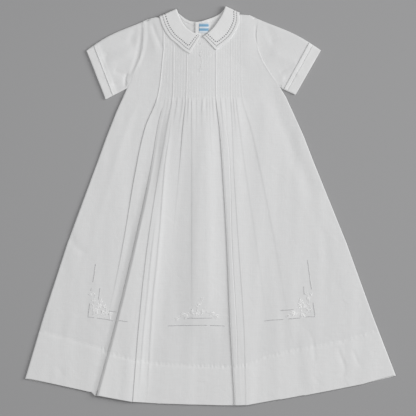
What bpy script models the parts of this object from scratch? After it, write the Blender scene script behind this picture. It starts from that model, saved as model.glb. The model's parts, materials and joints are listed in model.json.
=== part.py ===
"""Newborn's christening gown, laid flat on its back.

+X is the right of the gown as seen from the front, +Y points to its shoulders and +Z up
from the surface it lies on. Sizes are in millimetres, turned into metres as each mesh is
made. Depth is the distance down from the top of the shoulders.
"""
import math
from collections import namedtuple

import bmesh
import bpy

MM = 0.001

# Driving sizes
LENGTH = 615.2
CLOTH = 1.0
LAYER_GAP = 0.4
SEAM_GAP = 0.3
RELEASE_DEPTH = 140.0
HEM_TURN_UP_SHARE = 0.86
HEM_THICKENING = 0.35

# Tucks over the chest: a raised edge about every 4 mm
TUCK_HEIGHT = 0.45
EDGE_TUCK_HEIGHT = 0.8
TUCK_FOOT_LEFT = 0.8
TUCK_FOOT_RIGHT = 1.4

# The lapped opening down the centre back, its buttons, and the label above it
PLACKET_X = -16.6
LAP_HALF_WIDTH = 7.2
LAP_FRONT_RAMP = 5.0
LAP_BACK_RAMP = 10.0
LAP_END_DEPTH = 455.0
LAP_FLAT_DEPTH = 510.0
BUTTON_DEPTHS = (64.0, 129.0, 196.0)
BUTTON_RADIUS = 4.5
BUTTON_THICKNESS = 1.5
BUTTON_CLEARANCE = 0.4
LABEL_LEFT = -17.6
LABEL_RIGHT = -3.0
LABEL_TOP_DEPTH = 26.0
LABEL_BOTTOM_DEPTH = 41.8
LABEL_THICKNESS = 0.6

# Where the back halves of the collar lie under the gown and lift it
NECK_X = -15.0
COLLAR_LIFT_HALF_WIDTH = (66.0, 96.0)
COLLAR_LIFT_DEPTH = (56.0, 108.0)
PLACKET_LIFT_HALF_WIDTH = (8.0, 24.0)
PLACKET_LIFT_DEPTH = (230.0, 330.0)

# The deep fold that runs from the left tucks to the hem: three layers on each other
DEEP_FOLD_RISE = CLOTH + LAYER_GAP
DEEP_FOLD_GROWTH = ((140, 0.15), (175, 1.0))
DEEP_FOLD_WIDTH = ((213, 0.8), (240, 4.5), (376, 14), (491, 22), (615, 30))
DEEP_FOLD_START = 195.0
DEEP_FOLD_SHOULDER = 1.5
DEEP_FOLD_SLOPE = 12.0
DEEP_FOLD_STEP = 2.4
DEEP_FOLD_FOOT = 1.0
DEEP_FOLD_CLEARANCE = 0.5
DEEP_FOLD_POINTS = 10
DEEP_PLACE_STEP = 0.001
PLACE_SPACING = 0.02

# Outline of the body, armholes included: depth, x
LEFT_EDGE = (
    (23.6, -103.5), (37, -102.4), (52.4, -103.2), (67.8, -105.5), (83.2, -110.1), (98.6, -117),
    (114, -122.6), (127, -129), (140, -134.8), (163.2, -145.3), (200, -159.8), (237, -173.2),
    (366.5, -221), (477.4, -257), (574.4, -285.8),
)
RIGHT_EDGE = (
    (20, 72.7), (44.7, 70.8), (55.4, 71.6), (67.8, 74.7), (83.2, 80.9), (93.9, 87), (106.3, 94.7),
    (117, 102.4), (127, 108.4), (140, 116.3), (163.2, 127), (200, 143.6), (237, 157.8),
    (366.5, 210.2), (477.4, 250.2), (569.8, 285.8),
)

# Top edges of the panels, from the left armhole over the neck to the right one: x, depth
FRONT_TOP = (
    (-103.5, 23), (-93.2, 19), (-84, 17), (-77.5, 18), (-62.4, 11.6), (-53.1, 7.8),
    (-50.1, 16.5), (-43.9, 30.8), (-33.1, 41.4), (-22.3, 47), (-13.9, 49.4), (-0.8, 43.4),
    (9.2, 33), (16.2, 21.6), (20, 10), (22.2, 3.2), (44.3, 12.8), (60.8, 14), (72.7, 19.4),
)
BACK_TOP = (
    (-103.5, 23), (-93.2, 19), (-84, 17), (-77.5, 18), (-62.4, 11.6), (-53.1, 7.8),
    (-47, 13), (-39.3, 19.3), (-31.6, 23), (-22.3, 24.6), (-14.6, 23.6), (-5.4, 20.5),
    (3.9, 17.2), (11.6, 13.7), (17.7, 9), (22.2, 3.2), (44.3, 12.8), (60.8, 14), (72.7, 19.4),
)

# Lines that run down the front. x and height are given at each of these depths, and the
# last value of a row is the depth of the hem where the line meets it.
LINE_DEPTHS = (68, 140, 188, 260, 376, 491, 607)
Line = namedtuple("Line", "name kind x height hem_depth")
LINES = (
    Line("left side", "edge", None, None, 574.4),
    Line("left underarm fold", "soft", (-92, -108.6, -128.6, -151.7, -186, -217, -250),
         (0, 0.4, 1.0, 0.7, 0.3, 0.2, 0.2), 582),
    Line("left tuck edge", "knife", (-72.4, -81.6, -100.9, -117.8, -138.6, -162.5, -188.7),
         (0, 0.7, 1.1, 1.3, 1.0, 0.4, 0.1), 594.4),
    Line("deep fold", "deep", (-65, -69, -77, -91.6, -120.1, -147.1, -174.8),
         (0, 0, 0, 0, 0, 0, 0), 600.5),
    Line("left tuck group", "knife", (-57, -58.5, -67, -80.1, -97.8, -110.1, -119.4),
         (0, 0.6, 1.0, 1.2, 1.4, 1.5, 1.5), 609.8),
    Line("left centre tuck", "knife", (-36.2, -37.7, -42.4, -48.5, -59.3, -68.5, -77.8),
         (0, 0.7, 1.2, 1.1, 0.6, 0.3, 0.3), 612.5),
    Line("placket fold", "knife", (-28.5, -28.5, -28.5, -28.5, -28.5, -28.5, -28.5),
         (0, 0.2, 0.3, 0.3, 0.3, 0.3, 0.3), 614),
    Line("right centre tuck", "knife", (-0.8, -0.8, 0, 3.9, 10, 14.6, 19.3),
         (0, 0.5, 0.7, 0.7, 0.4, 0.4, 0.4), 615.2),
    Line("right tuck group", "knife", (8.5, 8.5, 13.9, 19.3, 23.9, 30, 37),
         (0, 0.9, 1.7, 2.0, 2.1, 2.3, 2.5), 615.2),
    Line("right tuck crease", "knife", (31.6, 31.6, 33.9, 36.7, 43.9, 51.6, 54.7),
         (0, 0.5, 0.7, 0.7, 0.7, 0.9, 0.9), 614.8),
    Line("right tuck fold", "soft", (39.3, 39.9, 46, 56, 73.1, 88.6, 107),
         (0, 0.4, 1.3, 1.7, 1.4, 0.8, 0.5), 606),
    Line("right tuck edge", "soft", (47, 49.2, 63.1, 79.3, 102.4, 122.4, 145.5),
         (0, 0.6, 1.5, 1.8, 1.5, 1.0, 0.5), 599.8),
    Line("right underarm fold", "soft", (66, 79.3, 103, 128, 168.6, 204, 242.5),
         (0, 0.6, 1.4, 1.1, 0.6, 0.3, 0.3), 582.5),
    Line("right side", "edge", None, None, 569.8),
)
FIRST_TUCK_LINE = 2
DEEP_LINE = 3
PLACKET_LINE = 6
LAST_TUCK_LINE = 11
LAST_LINE = len(LINES) - 1

# Columns of the plain sides of the chest and of each back half, and the halves' end places
LEFT_SIDE_COLUMNS = 8
RIGHT_SIDE_COLUMNS = 6
SKIRT_SIDE_PLACES = (0.35, 0.7, LAST_LINE - 0.66, LAST_LINE - 0.33)
BACK_COLUMNS = 6
BACK_LEFT_PLACES = (0.0, 5.0)
BACK_RIGHT_PLACES = (8.4, LAST_LINE)
LAP_CLOSING = ((LAP_END_DEPTH - 30, LAP_HALF_WIDTH), (LAP_END_DEPTH - 8, -SEAM_GAP / 2))
LAP_EDGE_RAMP = 0.01

# Tucks from one tuck line to the next, the first line's own tuck included
TUCKS_AFTER_LINE = {2: 2, 3: 2, 4: 5, 5: 2, 6: 7, 7: 2, 8: 6, 9: 2, 10: 2, 11: 1}
EDGE_TUCKS = (2, 4, 5, 8, 9, 11)

# Cross-section of each kind of fold: distance from its line, share of its height
FOLD_PROFILE = {
    "knife": ((-1.6, 0.0), (0.0, 1.0), (4.0, 0.5), (13.0, 0.0)),
    "soft": ((-11.0, 0.0), (-4.0, 0.75), (0.0, 1.0), (4.0, 0.75), (11.0, 0.0)),
}

# Rows of the panels: share of the way from the top edge to the release of the tucks, and
# from there to the hem
BODICE_ROWS = (0.0, 0.1, 0.28, 0.46, 0.64, 0.78, 0.889, 1.0)
SKIRT_ROWS = (0.03, 0.075, 0.115, 0.16, 0.22, 0.29, 0.37, 0.45, 0.53, 0.6, 0.64, 0.69, 0.78,
              0.855, 0.866, 0.93, 1.0)

# Sleeves: upper and lower end of the hem edge, each x, depth, and the length of the hem
SLEEVE_LEFT_END = ((-191.3, 68.5), (-161.5, 144.0))
SLEEVE_RIGHT_END = ((170.2, 68.2), (130.9, 137.1))
SLEEVE_HEM = 20.0
SLEEVE_TUCK_AT = 13.5
SLEEVE_TUCK_HEIGHT = 0.8
SLEEVE_TUCK_FEET = (2.5, -1.2)
SLEEVE_HEAD_BULGE = 3.0
SLEEVE_RING_SHARES = (0.0, 0.12, 0.28, 0.46, 0.64, 0.82)
SLEEVE_LAST_RING = 5.0
SLEEVE_FOLD_SHARE = 0.03
SLEEVE_FOLD_ROUNDING = 0.7
SLEEVE_INSET = 0.02
SLEEVE_FOLD_INSET = 0.035

# Collar halves, from the centre front over the shoulder to the centre back: each station
# has the inner edge and the outer edge, as x, depth
Station = namedtuple("Station", "inner outer")
COLLAR_LEFT_FRONT = (
    Station((-14.4, 45.4), (-31.6, 73.9)), Station((-20.5, 43.2), (-40.5, 68.5)),
    Station((-28.5, 39.3), (-51.5, 58.8)), Station((-36.5, 33.5), (-62.4, 49.3)),
    Station((-42.5, 26.0), (-71.0, 37.0)), Station((-47.0, 17.5), (-75.6, 27.0)),
    Station((-51.4, 6.4), (-78.2, 17.9)),
)
COLLAR_LEFT_BACK = (
    Station((-49.4, 10.6), (-77.6, 24.5)), Station((-45.4, 14.8), (-75.0, 33.0)),
    Station((-38.5, 20.4), (-67.0, 43.1)), Station((-30.0, 24.4), (-51.6, 50.8)),
    Station((-17.3, 25.4), (-18.2, 54.4)),
)
COLLAR_RIGHT_FRONT = (
    Station((-12.2, 46.4), (8.5, 68.5)), Station((-6.0, 42.2), (16.0, 62.6)),
    Station((0.8, 36.4), (25.0, 55.6)), Station((7.2, 29.0), (33.1, 47.7)),
    Station((13.4, 20.0), (40.0, 36.5)), Station((18.2, 11.6), (44.2, 24.5)),
    Station((22.0, 2.5), (44.3, 12.5)),
)
COLLAR_RIGHT_BACK = (
    Station((20.2, 7.2), (44.9, 19.5)), Station((16.2, 11.4), (43.1, 29.3)),
    Station((9.2, 16.6), (34.6, 41.6)), Station((-2.3, 20.6), (19.2, 50.4)),
    Station((-15.7, 24.6), (-15.2, 54.4)),
)
COLLAR_SHARES = (0.0, 0.2, 0.5, 0.82, 0.86, 1.0)
COLLAR_BORDER_SHARE = 0.84
COLLAR_BORDER_RISE = 0.3
COLLAR_CLEARANCE = 0.4
COLLAR_REACH = 7.0
COLLAR_MARGIN = 6.0
COLLAR_BEND_STEPS = 6

CLOTH_WHITE = (0.86, 0.86, 0.85, 1.0)
LABEL_WHITE = (0.9, 0.9, 0.92, 1.0)
BUTTON_WHITE = (0.92, 0.91, 0.88, 1.0)


def along(table, at):
    """Value at a place of a table of (place, value), with straight runs between rows."""
    if at <= table[0][0]:
        return table[0][1]
    for (low, first), (high, second) in zip(table, table[1:]):
        if at <= high:
            return first + (second - first) * (at - low) / (high - low)
    return table[-1][1]


def smooth_along(places, values, at):
    """The same, on a smooth curve through the values."""
    last = len(places) - 1
    at = min(max(at, places[0]), places[last])
    i = 0
    while i < last - 1 and at > places[i + 1]:
        i += 1

    def slope(k):
        low, high = max(k - 1, 0), min(k + 1, last)
        return (values[high] - values[low]) / (places[high] - places[low])

    span = places[i + 1] - places[i]
    t = (at - places[i]) / span
    return ((2 * t**3 - 3 * t**2 + 1) * values[i] + (t**3 - 2 * t**2 + t) * span * slope(i)
            + (3 * t**2 - 2 * t**3) * values[i + 1] + (t**3 - t**2) * span * slope(i + 1))


def ease(value, full, none):
    """1 up to full, 0 from none on, and a soft curve between them."""
    t = min(max((none - value) / (none - full), 0.0), 1.0)
    return t * t * (3 - 2 * t)


def mix(first, second, share):
    return first + (second - first) * share


# Layers that lie on each other


def back_lift(x, depth):
    """How far the back lies above the surface, over the collar and over the buttons."""
    from_neck = abs(x - NECK_X)
    from_placket = abs(x - PLACKET_X)
    collar = ease(from_neck, *COLLAR_LIFT_HALF_WIDTH) * ease(depth, *COLLAR_LIFT_DEPTH)
    buttons = ease(from_placket, *PLACKET_LIFT_HALF_WIDTH) * ease(depth, *PLACKET_LIFT_DEPTH)
    over_collar = collar * (CLOTH + LAYER_GAP)
    return mix(over_collar, BUTTON_THICKNESS + BUTTON_CLEARANCE, buttons)


def lap_lift(x, depth, left_ramp):
    """How far what lies over the left back is raised by it along the placket."""
    left = PLACKET_X - LAP_HALF_WIDTH - SEAM_GAP
    right = PLACKET_X + LAP_HALF_WIDTH + SEAM_GAP
    across = along(((left - left_ramp, 0), (left, 1), (right, 1), (right + LAP_BACK_RAMP, 0)), x)
    down = along(((LAP_END_DEPTH, 1), (LAP_FLAT_DEPTH, 0)), depth)
    return across * down * (CLOTH + LAYER_GAP)


def front_base(x, depth):
    """Height of the underside of the front, its folds left out."""
    return back_lift(x, depth) + lap_lift(x, depth, LAP_FRONT_RAMP) + CLOTH + LAYER_GAP


# The net of lines and rows that front and back share


def line_x(index, depth):
    if index == 0:
        return along(LEFT_EDGE, depth)
    if index == LAST_LINE:
        return along(RIGHT_EDGE, depth)
    return smooth_along(LINE_DEPTHS, LINES[index].x, depth)


def x_at(place, depth):
    """x of a place between two lines: 2.5 is halfway from line 2 to line 3."""
    index = min(int(place), LAST_LINE - 1)
    return mix(line_x(index, depth), line_x(index + 1, depth), place - index)


def place_at(x, depth):
    """The place whose x is given."""
    for index in range(LAST_LINE):
        low, high = line_x(index, depth), line_x(index + 1, depth)
        if x <= high or index == LAST_LINE - 1:
            return index + (x - low) / (high - low)
    return LAST_LINE


Row = namedtuple("Row", "part share")
ROWS = tuple(Row("bodice", share) for share in BODICE_ROWS)
ROWS += tuple(Row("skirt", share) for share in SKIRT_ROWS)


def hem_depth(place):
    index = min(int(place), LAST_LINE - 1)
    return mix(LINES[index].hem_depth, LINES[index + 1].hem_depth, place - index)


def row_depth(row, place, top_edge):
    if row.part == "skirt":
        return mix(RELEASE_DEPTH, hem_depth(place), row.share)
    top = along(top_edge, x_at(place, 0.0))
    return mix(top, RELEASE_DEPTH, row.share)


def fold_height(line, depth):
    return max(0.0, smooth_along(LINE_DEPTHS, line.height, depth))


def folds(x, depth):
    """Height of the small folds of the skirt."""
    total = 0.0
    for index, line in enumerate(LINES):
        if line.kind in FOLD_PROFILE:
            offset = x - line_x(index, depth)
            profile = FOLD_PROFILE[line.kind]
            if profile[0][0] < offset < profile[-1][0]:
                total += fold_height(line, depth) * along(profile, offset)
    return total


# Walls of cloth


def offset_line(points, distance):
    """Points (x, z) moved to the left of their own direction by a distance."""
    moved = []
    for i, (x, z) in enumerate(points):
        before = points[max(i - 1, 0)]
        after = points[min(i + 1, len(points) - 1)]
        first = math.atan2(z - before[1], x - before[0]) if i else None
        second = math.atan2(after[1] - z, after[0] - x) if i < len(points) - 1 else first
        first = second if first is None else first
        turn = (second - first + math.pi) % (2 * math.pi) - math.pi
        normal = first + turn / 2 + math.pi / 2
        reach = distance / math.cos(turn / 2)
        moved.append((x + reach * math.cos(normal), z + reach * math.sin(normal)))
    return moved


def join_rows(mesh, upper, lower):
    """Triangles between two rows of (place, vertex), matched by place."""
    i = j = 0
    while i < len(upper) - 1 or j < len(lower) - 1:
        if i == len(upper) - 1:
            step_upper = False
        elif j == len(lower) - 1:
            step_upper = True
        else:
            step_upper = (abs(upper[i + 1][0] - lower[j][0])
                          <= abs(lower[j + 1][0] - upper[i][0]))
        if step_upper:
            mesh.faces.new((upper[i][1], lower[j][1], upper[i + 1][1]))
            i += 1
        else:
            mesh.faces.new((upper[i][1], lower[j][1], lower[j + 1][1]))
            j += 1


def finish_object(name, mesh, color, roughness):
    bmesh.ops.recalc_face_normals(mesh, faces=mesh.faces[:])
    data = bpy.data.meshes.new(name)
    mesh.to_mesh(data)
    mesh.free()
    data.shade_smooth()
    data.set_sharp_from_angle(angle=math.radians(50))
    material = bpy.data.materials.new(name)
    material.use_nodes = True
    shader = material.node_tree.nodes["Principled BSDF"]
    shader.inputs["Base Color"].default_value = color
    shader.inputs["Roughness"].default_value = roughness
    shader.inputs["Metallic"].default_value = 0.0
    data.materials.append(material)
    part = bpy.data.objects.new(name, data)
    bpy.context.collection.objects.link(part)
    return part


def wall(name, over_rows, under_rows, color=CLOTH_WHITE):
    """A closed wall between two sheets, each a list of rows of (place, x, depth, z)."""
    mesh = bmesh.new()

    def add(rows):
        return [[(place, mesh.verts.new((x * MM, (LENGTH / 2 - depth) * MM, z * MM)))
                 for place, x, depth, z in row] for row in rows]

    over, under = add(over_rows), add(under_rows)
    for sheet in (over, under):
        for upper, lower in zip(sheet, sheet[1:]):
            join_rows(mesh, upper, lower)
    join_rows(mesh, over[0], under[0])
    join_rows(mesh, over[-1], under[-1])
    for side in (0, -1):
        over_side = [(index, row[side][1]) for index, row in enumerate(over)]
        under_side = [(index, row[side][1]) for index, row in enumerate(under)]
        join_rows(mesh, over_side, under_side)
    return finish_object(name, mesh, color, 0.85)


# The front


def tuck_places():
    """Place and height of each tuck of the bodice."""
    tucks = []
    for line, count in TUCKS_AFTER_LINE.items():
        for number in range(count):
            edge = number == 0 and line in EDGE_TUCKS
            tucks.append((line + number / count, EDGE_TUCK_HEIGHT if edge else TUCK_HEIGHT))
    return tucks


def placket_knots():
    """x of the bends in what lies over the placket."""
    left = PLACKET_X - LAP_HALF_WIDTH - SEAM_GAP
    right = PLACKET_X + LAP_HALF_WIDTH + SEAM_GAP
    near, far = PLACKET_LIFT_HALF_WIDTH
    middle = (near + far) / 2
    return (PLACKET_X - far, left - LAP_FRONT_RAMP, PLACKET_X - middle, left,
            PLACKET_X - near + 2, right, right + LAP_BACK_RAMP / 2, right + LAP_BACK_RAMP,
            PLACKET_X + far)


def front_bodice_row(row):
    """Upper and under points of one row over the chest."""
    under, over = [], []
    margins = [FIRST_TUCK_LINE * i / LEFT_SIDE_COLUMNS for i in range(LEFT_SIDE_COLUMNS + 1)]
    margins += [mix(LAST_TUCK_LINE, LAST_LINE, i / RIGHT_SIDE_COLUMNS)
                for i in range(RIGHT_SIDE_COLUMNS + 1)]
    tucks = tuck_places()

    def base(place):
        depth = row_depth(row, place, FRONT_TOP)
        x = x_at(place, depth)
        return x, depth, front_base(x, depth)

    for place in margins:
        x, depth, z = base(place)
        under.append((place, x, depth, z))
        if place < FIRST_TUCK_LINE or place > LAST_TUCK_LINE + 0.1:
            over.append((place, x, depth, z + CLOTH))
    for place, height in tucks:
        x, depth, z = base(place)
        pitch = (x_at(place + 0.1, depth) - x_at(place - 0.1, depth)) / 0.2
        left = place - TUCK_FOOT_LEFT / pitch
        right = place + TUCK_FOOT_RIGHT / pitch
        for foot in (left, right):
            foot_x, foot_depth, foot_z = base(foot)
            over.append((foot, foot_x, foot_depth, foot_z + CLOTH))
        rise = 0.0 if under_collar(x, depth) else height
        over.append((place, x, depth, z + CLOTH + rise))
        if FIRST_TUCK_LINE < place < LAST_TUCK_LINE:
            under.append((place, x, depth, z))
    return sorted(over), sorted(under)


def deep_fold_points(x, z, width):
    """The deep fold's three layers, one over the other."""
    radius = DEEP_FOLD_RISE / 2
    turn = [(math.sin(angle), 1 - math.cos(angle)) for angle in
            (math.radians(45), math.radians(90), math.radians(135))]
    points = [(0.0, 0.0), (width, 0.0)]
    points += [(width + radius * out, radius * up) for out, up in turn]
    points += [(width, DEEP_FOLD_RISE), (0.0, DEEP_FOLD_RISE)]
    points += [(-radius * out, DEEP_FOLD_RISE + radius * up) for out, up in turn]
    points += [(0.0, 2 * DEEP_FOLD_RISE)]
    return [(x + dx, z + dz) for dx, dz in points]


def skirt_places(row, deep_x, deep_depth, slope):
    """Places of the bends of one row of the skirt, the deep fold's own left out."""
    places = set(SKIRT_SIDE_PLACES)
    for index, line in enumerate(LINES):
        depth = row_depth(row, index, FRONT_TOP)
        for offset, _ in FOLD_PROFILE.get(line.kind, ()):
            if offset:
                places.add(place_at(line_x(index, depth) + offset, depth))
    for x in placket_knots():
        places.add(place_at(x, row_depth(row, PLACKET_LINE, FRONT_TOP)))
    for x in (deep_x - DEEP_FOLD_STEP - DEEP_FOLD_FOOT, *slope):
        places.add(place_at(x, deep_depth))

    kept = [float(index) for index in range(LAST_LINE + 1) if index != DEEP_LINE]
    for place in sorted(places):
        if all(abs(place - other) > PLACE_SPACING for other in kept):
            kept.append(place)
    return sorted(kept)


def front_skirt_row(row):
    """Upper and under points of one row of the skirt."""
    deep_depth = row_depth(row, DEEP_LINE, FRONT_TOP)
    deep_x = line_x(DEEP_LINE, deep_depth)
    folded = deep_depth > DEEP_FOLD_START
    width = along(DEEP_FOLD_WIDTH, deep_depth) if folded else 0.0
    grown = along(DEEP_FOLD_GROWTH, deep_depth)
    slope_start = deep_x + width + DEEP_FOLD_SHOULDER
    slope = (slope_start, slope_start + DEEP_FOLD_SLOPE)
    clear_left = DEEP_FOLD_CLEARANCE if folded else DEEP_FOLD_STEP + DEEP_FOLD_CLEARANCE
    clear_right = DEEP_FOLD_SHOULDER - DEEP_FOLD_CLEARANCE

    def height(x, depth):
        step = along(((slope[0], 1), (slope[1], 0)), x) if x > deep_x else 0.0
        return (front_base(x, depth) + CLOTH / 2 + folds(x, depth)
                + step * grown * 2 * DEEP_FOLD_RISE)

    line = []
    for place in skirt_places(row, deep_x, deep_depth, slope):
        depth = row_depth(row, place, FRONT_TOP)
        x = x_at(place, depth)
        if not -clear_left < x - deep_x < clear_right:
            line.append((place, x, depth, height(x, depth)))

    deep_z = front_base(deep_x, deep_depth) + CLOTH / 2 + folds(deep_x, deep_depth)
    if folded:
        points = deep_fold_points(deep_x, deep_z, width)
    else:
        points = [(deep_x - DEEP_FOLD_STEP * (1 - number / DEEP_FOLD_POINTS),
                   deep_z + 2 * DEEP_FOLD_RISE * grown * number / DEEP_FOLD_POINTS)
                  for number in range(DEEP_FOLD_POINTS + 1)]
    for number, (x, z) in enumerate(points):
        line.append((DEEP_LINE + number * DEEP_PLACE_STEP, x, deep_depth, z))
    line.sort()

    sheets = []
    for distance in (CLOTH / 2, -CLOTH / 2):
        moved = offset_line([(x, z) for _, x, _, z in line], distance)
        sheet = [(place, x, depth, z) for (place, _, depth, _), (x, z) in zip(line, moved)]
        for side in (0, -1):
            place, x, depth, _ = line[side]
            sheet[side] = (place, x, depth, sheet[side][3])
        sheets.append(sheet)
    over, under = sheets
    if row.share > HEM_TURN_UP_SHARE:
        hidden = (DEEP_LINE, DEEP_LINE + (DEEP_FOLD_POINTS - 0.5) * DEEP_PLACE_STEP)
        over = [(place, x, depth, z if hidden[0] <= place < hidden[1] else z + HEM_THICKENING)
                for place, x, depth, z in over]
    return over, under


def make_front():
    """Front: one wall from the shoulders to the hem."""
    over_rows, under_rows = [], []
    for row in ROWS:
        over, under = front_bodice_row(row) if row.part == "bodice" else front_skirt_row(row)
        over_rows.append(over)
        under_rows.append(under)
    return wall("front", over_rows, under_rows)


# The back


def back_half(name, end_places, knots, edge_x, lift):
    """One half of the back, between two end places; knots are its bends in x."""
    over_rows, under_rows = [], []
    for row in ROWS:
        under = []
        for place in (mix(*end_places, i / BACK_COLUMNS) for i in range(BACK_COLUMNS + 1)):
            depth = row_depth(row, place, BACK_TOP)
            under.append((place, x_at(place, depth), depth))
        for knot in knots:
            place = place_at(knot, RELEASE_DEPTH)
            for _ in range(3):
                depth = row_depth(row, place, BACK_TOP)
                place = place_at(knot, depth)
            under.append((place, knot, depth))
        edge_place = place_at(PLACKET_X, RELEASE_DEPTH)
        edge_depth = row_depth(row, edge_place, BACK_TOP)
        under.append((edge_place, edge_x(edge_depth), edge_depth))
        ordered = sorted((x, depth) for _, x, depth in under)
        points = [(index, x, depth, lift(x, depth)) for index, (x, depth) in enumerate(ordered)]
        under_rows.append(points)
        over_rows.append([(index, x, depth, z + CLOTH) for index, x, depth, z in points])
    return wall(name, over_rows, under_rows)


def back_right_lift(x, depth):
    """Height of the underside of the right back, which laps over the left one."""
    return back_lift(x, depth) + lap_lift(x, depth, LAP_EDGE_RAMP)


def make_backs():
    """Back halves: the right one lies over the left one along the placket. The overlap is
    full down the opening, and nothing below it."""
    near, far = PLACKET_LIFT_HALF_WIDTH
    middle = (near + far) / 2
    right_knot = PLACKET_X + LAP_HALF_WIDTH + SEAM_GAP
    back_half("back_left", BACK_LEFT_PLACES,
              (PLACKET_X - far, PLACKET_X - middle, PLACKET_X - near - 1),
              lambda depth: PLACKET_X + along(LAP_CLOSING, depth), back_lift)
    back_half("back_right", BACK_RIGHT_PLACES,
              (right_knot, right_knot + LAP_BACK_RAMP / 2, right_knot + LAP_BACK_RAMP,
               PLACKET_X + far),
              lambda depth: PLACKET_X - along(LAP_CLOSING, depth), back_right_lift)


# Sleeves


def sleeve(name, side_line, seam_side, end):
    """A short sleeve: one flattened tube, open at the armhole and at its hem."""
    (upper_x, upper_depth), (lower_x, lower_depth) = end
    depths = [row_depth(row, side_line, FRONT_TOP) for row in ROWS[:len(BODICE_ROWS) - 1]]
    armhole = [(depth, line_x(side_line, depth) + seam_side * SEAM_GAP) for depth in depths]
    shares = [(depth - depths[0]) / (depths[-1] - depths[0]) for depth in depths]
    near_folds = (SLEEVE_FOLD_SHARE, 1 - SLEEVE_FOLD_SHARE)
    shares = sorted((*shares, *near_folds))

    def spot(distance_share, from_end, share):
        """x, depth of a point: along the sleeve, and share of the way down its width."""
        seam_depth = mix(depths[0], depths[-1], share)
        seam_x = along(armhole, seam_depth)
        end_x = mix(upper_x, lower_x, share)
        end_depth = mix(upper_depth, lower_depth, share)
        length = math.hypot(end_x - seam_x, end_depth - seam_depth)
        hem_share = 1 - SLEEVE_HEM / length
        if from_end is not None:
            t = 1 - from_end / length
        else:
            t = hem_share * distance_share
        bulge = SLEEVE_HEAD_BULGE * math.sin(math.pi * t) * (1 - share)
        return mix(seam_x, end_x, t), mix(seam_depth, end_depth, t) - bulge

    tuck_feet = [SLEEVE_TUCK_AT + foot for foot in SLEEVE_TUCK_FEET]
    rings = [(step, None) for step in SLEEVE_RING_SHARES]
    rings += [(None, from_end) for from_end in (SLEEVE_HEM, tuck_feet[0], SLEEVE_TUCK_AT,
                                                tuck_feet[1], SLEEVE_LAST_RING, 0.0)]
    mesh = bmesh.new()
    loops = []
    height = 2 * CLOTH + LAYER_GAP
    for distance_share, from_end in rings:
        outer, inner = [], []
        tuck = SLEEVE_TUCK_HEIGHT if from_end == SLEEVE_TUCK_AT else 0.0
        for layer in ("over", "under"):
            row = shares if layer == "over" else shares[::-1]
            for share in row:
                x, depth = spot(distance_share, from_end, share)
                lift = back_lift(x, depth)
                at_fold = share in (0.0, 1.0)
                rounding = SLEEVE_FOLD_ROUNDING if at_fold else 0.0
                if layer == "over":
                    z = height - rounding + (0.0 if at_fold else tuck)
                else:
                    z = rounding
                outer.append((x, depth, lift + z))
                margin = SLEEVE_FOLD_INSET if share in near_folds else SLEEVE_INSET
                inset = mix(margin, 1 - margin, share)
                inset_x, inset_depth = spot(distance_share, from_end, inset)
                inner_z = CLOTH + LAYER_GAP if layer == "over" else CLOTH
                inner.append((inset_x, inset_depth, back_lift(inset_x, inset_depth) + inner_z))
        loops.append(([mesh.verts.new((x * MM, (LENGTH / 2 - d) * MM, z * MM))
                       for x, d, z in outer],
                      [mesh.verts.new((x * MM, (LENGTH / 2 - d) * MM, z * MM))
                       for x, d, z in inner]))
    count = len(loops[0][0])

    def band(first, second):
        for i in range(count):
            j = (i + 1) % count
            mesh.faces.new((first[i], first[j], second[j]))
            mesh.faces.new((first[i], second[j], second[i]))

    for (outer, inner), (next_outer, next_inner) in zip(loops, loops[1:]):
        band(outer, next_outer)
        band(inner, next_inner)
    band(loops[0][0], loops[0][1])
    band(loops[-1][0], loops[-1][1])
    return finish_object(name, mesh, CLOTH_WHITE, 0.85)


# Collar


def collar_rest(x, depth):
    """Height at which the collar lies on the front: over the highest cloth near it."""
    reach = (-COLLAR_REACH, 0.0, COLLAR_REACH)
    highest = max(front_base(x + dx, depth + dy) for dx in reach for dy in reach)
    return highest + CLOTH + COLLAR_CLEARANCE


def under_collar(x, depth):
    """Whether a point of the front lies under a half of the collar."""
    for half in (COLLAR_LEFT_FRONT, COLLAR_RIGHT_FRONT):
        edge = sorted([station.outer for station in half] + [half[0].inner])
        if edge[0][0] <= x <= edge[-1][0] and depth < along(edge, x) + COLLAR_MARGIN:
            return True
    return False


def collar_half(name, front, back):
    """Collar half: a wall that lies on the front, turns over the shoulder and lies under
    the back."""
    over_rows, under_rows = [], []

    def flap_point(station, share):
        return (mix(station.inner[0], station.outer[0], share),
                mix(station.inner[1], station.outer[1], share))

    def border(share):
        return COLLAR_BORDER_RISE if share > COLLAR_BORDER_SHARE else 0.0

    for station in front:
        over, under = [], []
        for share in COLLAR_SHARES:
            x, depth = flap_point(station, share)
            z = collar_rest(x, depth)
            under.append((share, x, depth, z))
            over.append((share, x, depth, z + CLOTH + border(share)))
        over_rows.append(over)
        under_rows.append(under)

    shoulder = front[-1]
    run_x = shoulder.outer[0] - shoulder.inner[0]
    run_depth = shoulder.outer[1] - shoulder.inner[1]
    run = math.hypot(run_x, run_depth)
    away_x, away_depth = run_depth / run, -run_x / run
    if away_depth > 0:
        away_x, away_depth = -away_x, -away_depth
    for step in range(1, COLLAR_BEND_STEPS):
        angle = math.pi * step / COLLAR_BEND_STEPS
        over, under = [], []
        for share in COLLAR_SHARES:
            x, depth = flap_point(shoulder, share)
            height = collar_rest(x, depth) + CLOTH
            for radius, row in ((height / 2, over), (height / 2 - CLOTH, under)):
                out = radius * math.sin(angle)
                row.append((share, x + away_x * out, depth + away_depth * out,
                            height / 2 + radius * math.cos(angle)))
        over_rows.append(over)
        under_rows.append(under)

    for station in (shoulder,) + back:
        over, under = [], []
        for share in COLLAR_SHARES:
            x, depth = flap_point(station, share)
            over.append((share, x, depth, 0.0))
            under.append((share, x, depth, CLOTH))
        over_rows.append(over)
        under_rows.append(under)
    return wall(name, over_rows, under_rows)


# Label and buttons


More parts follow.
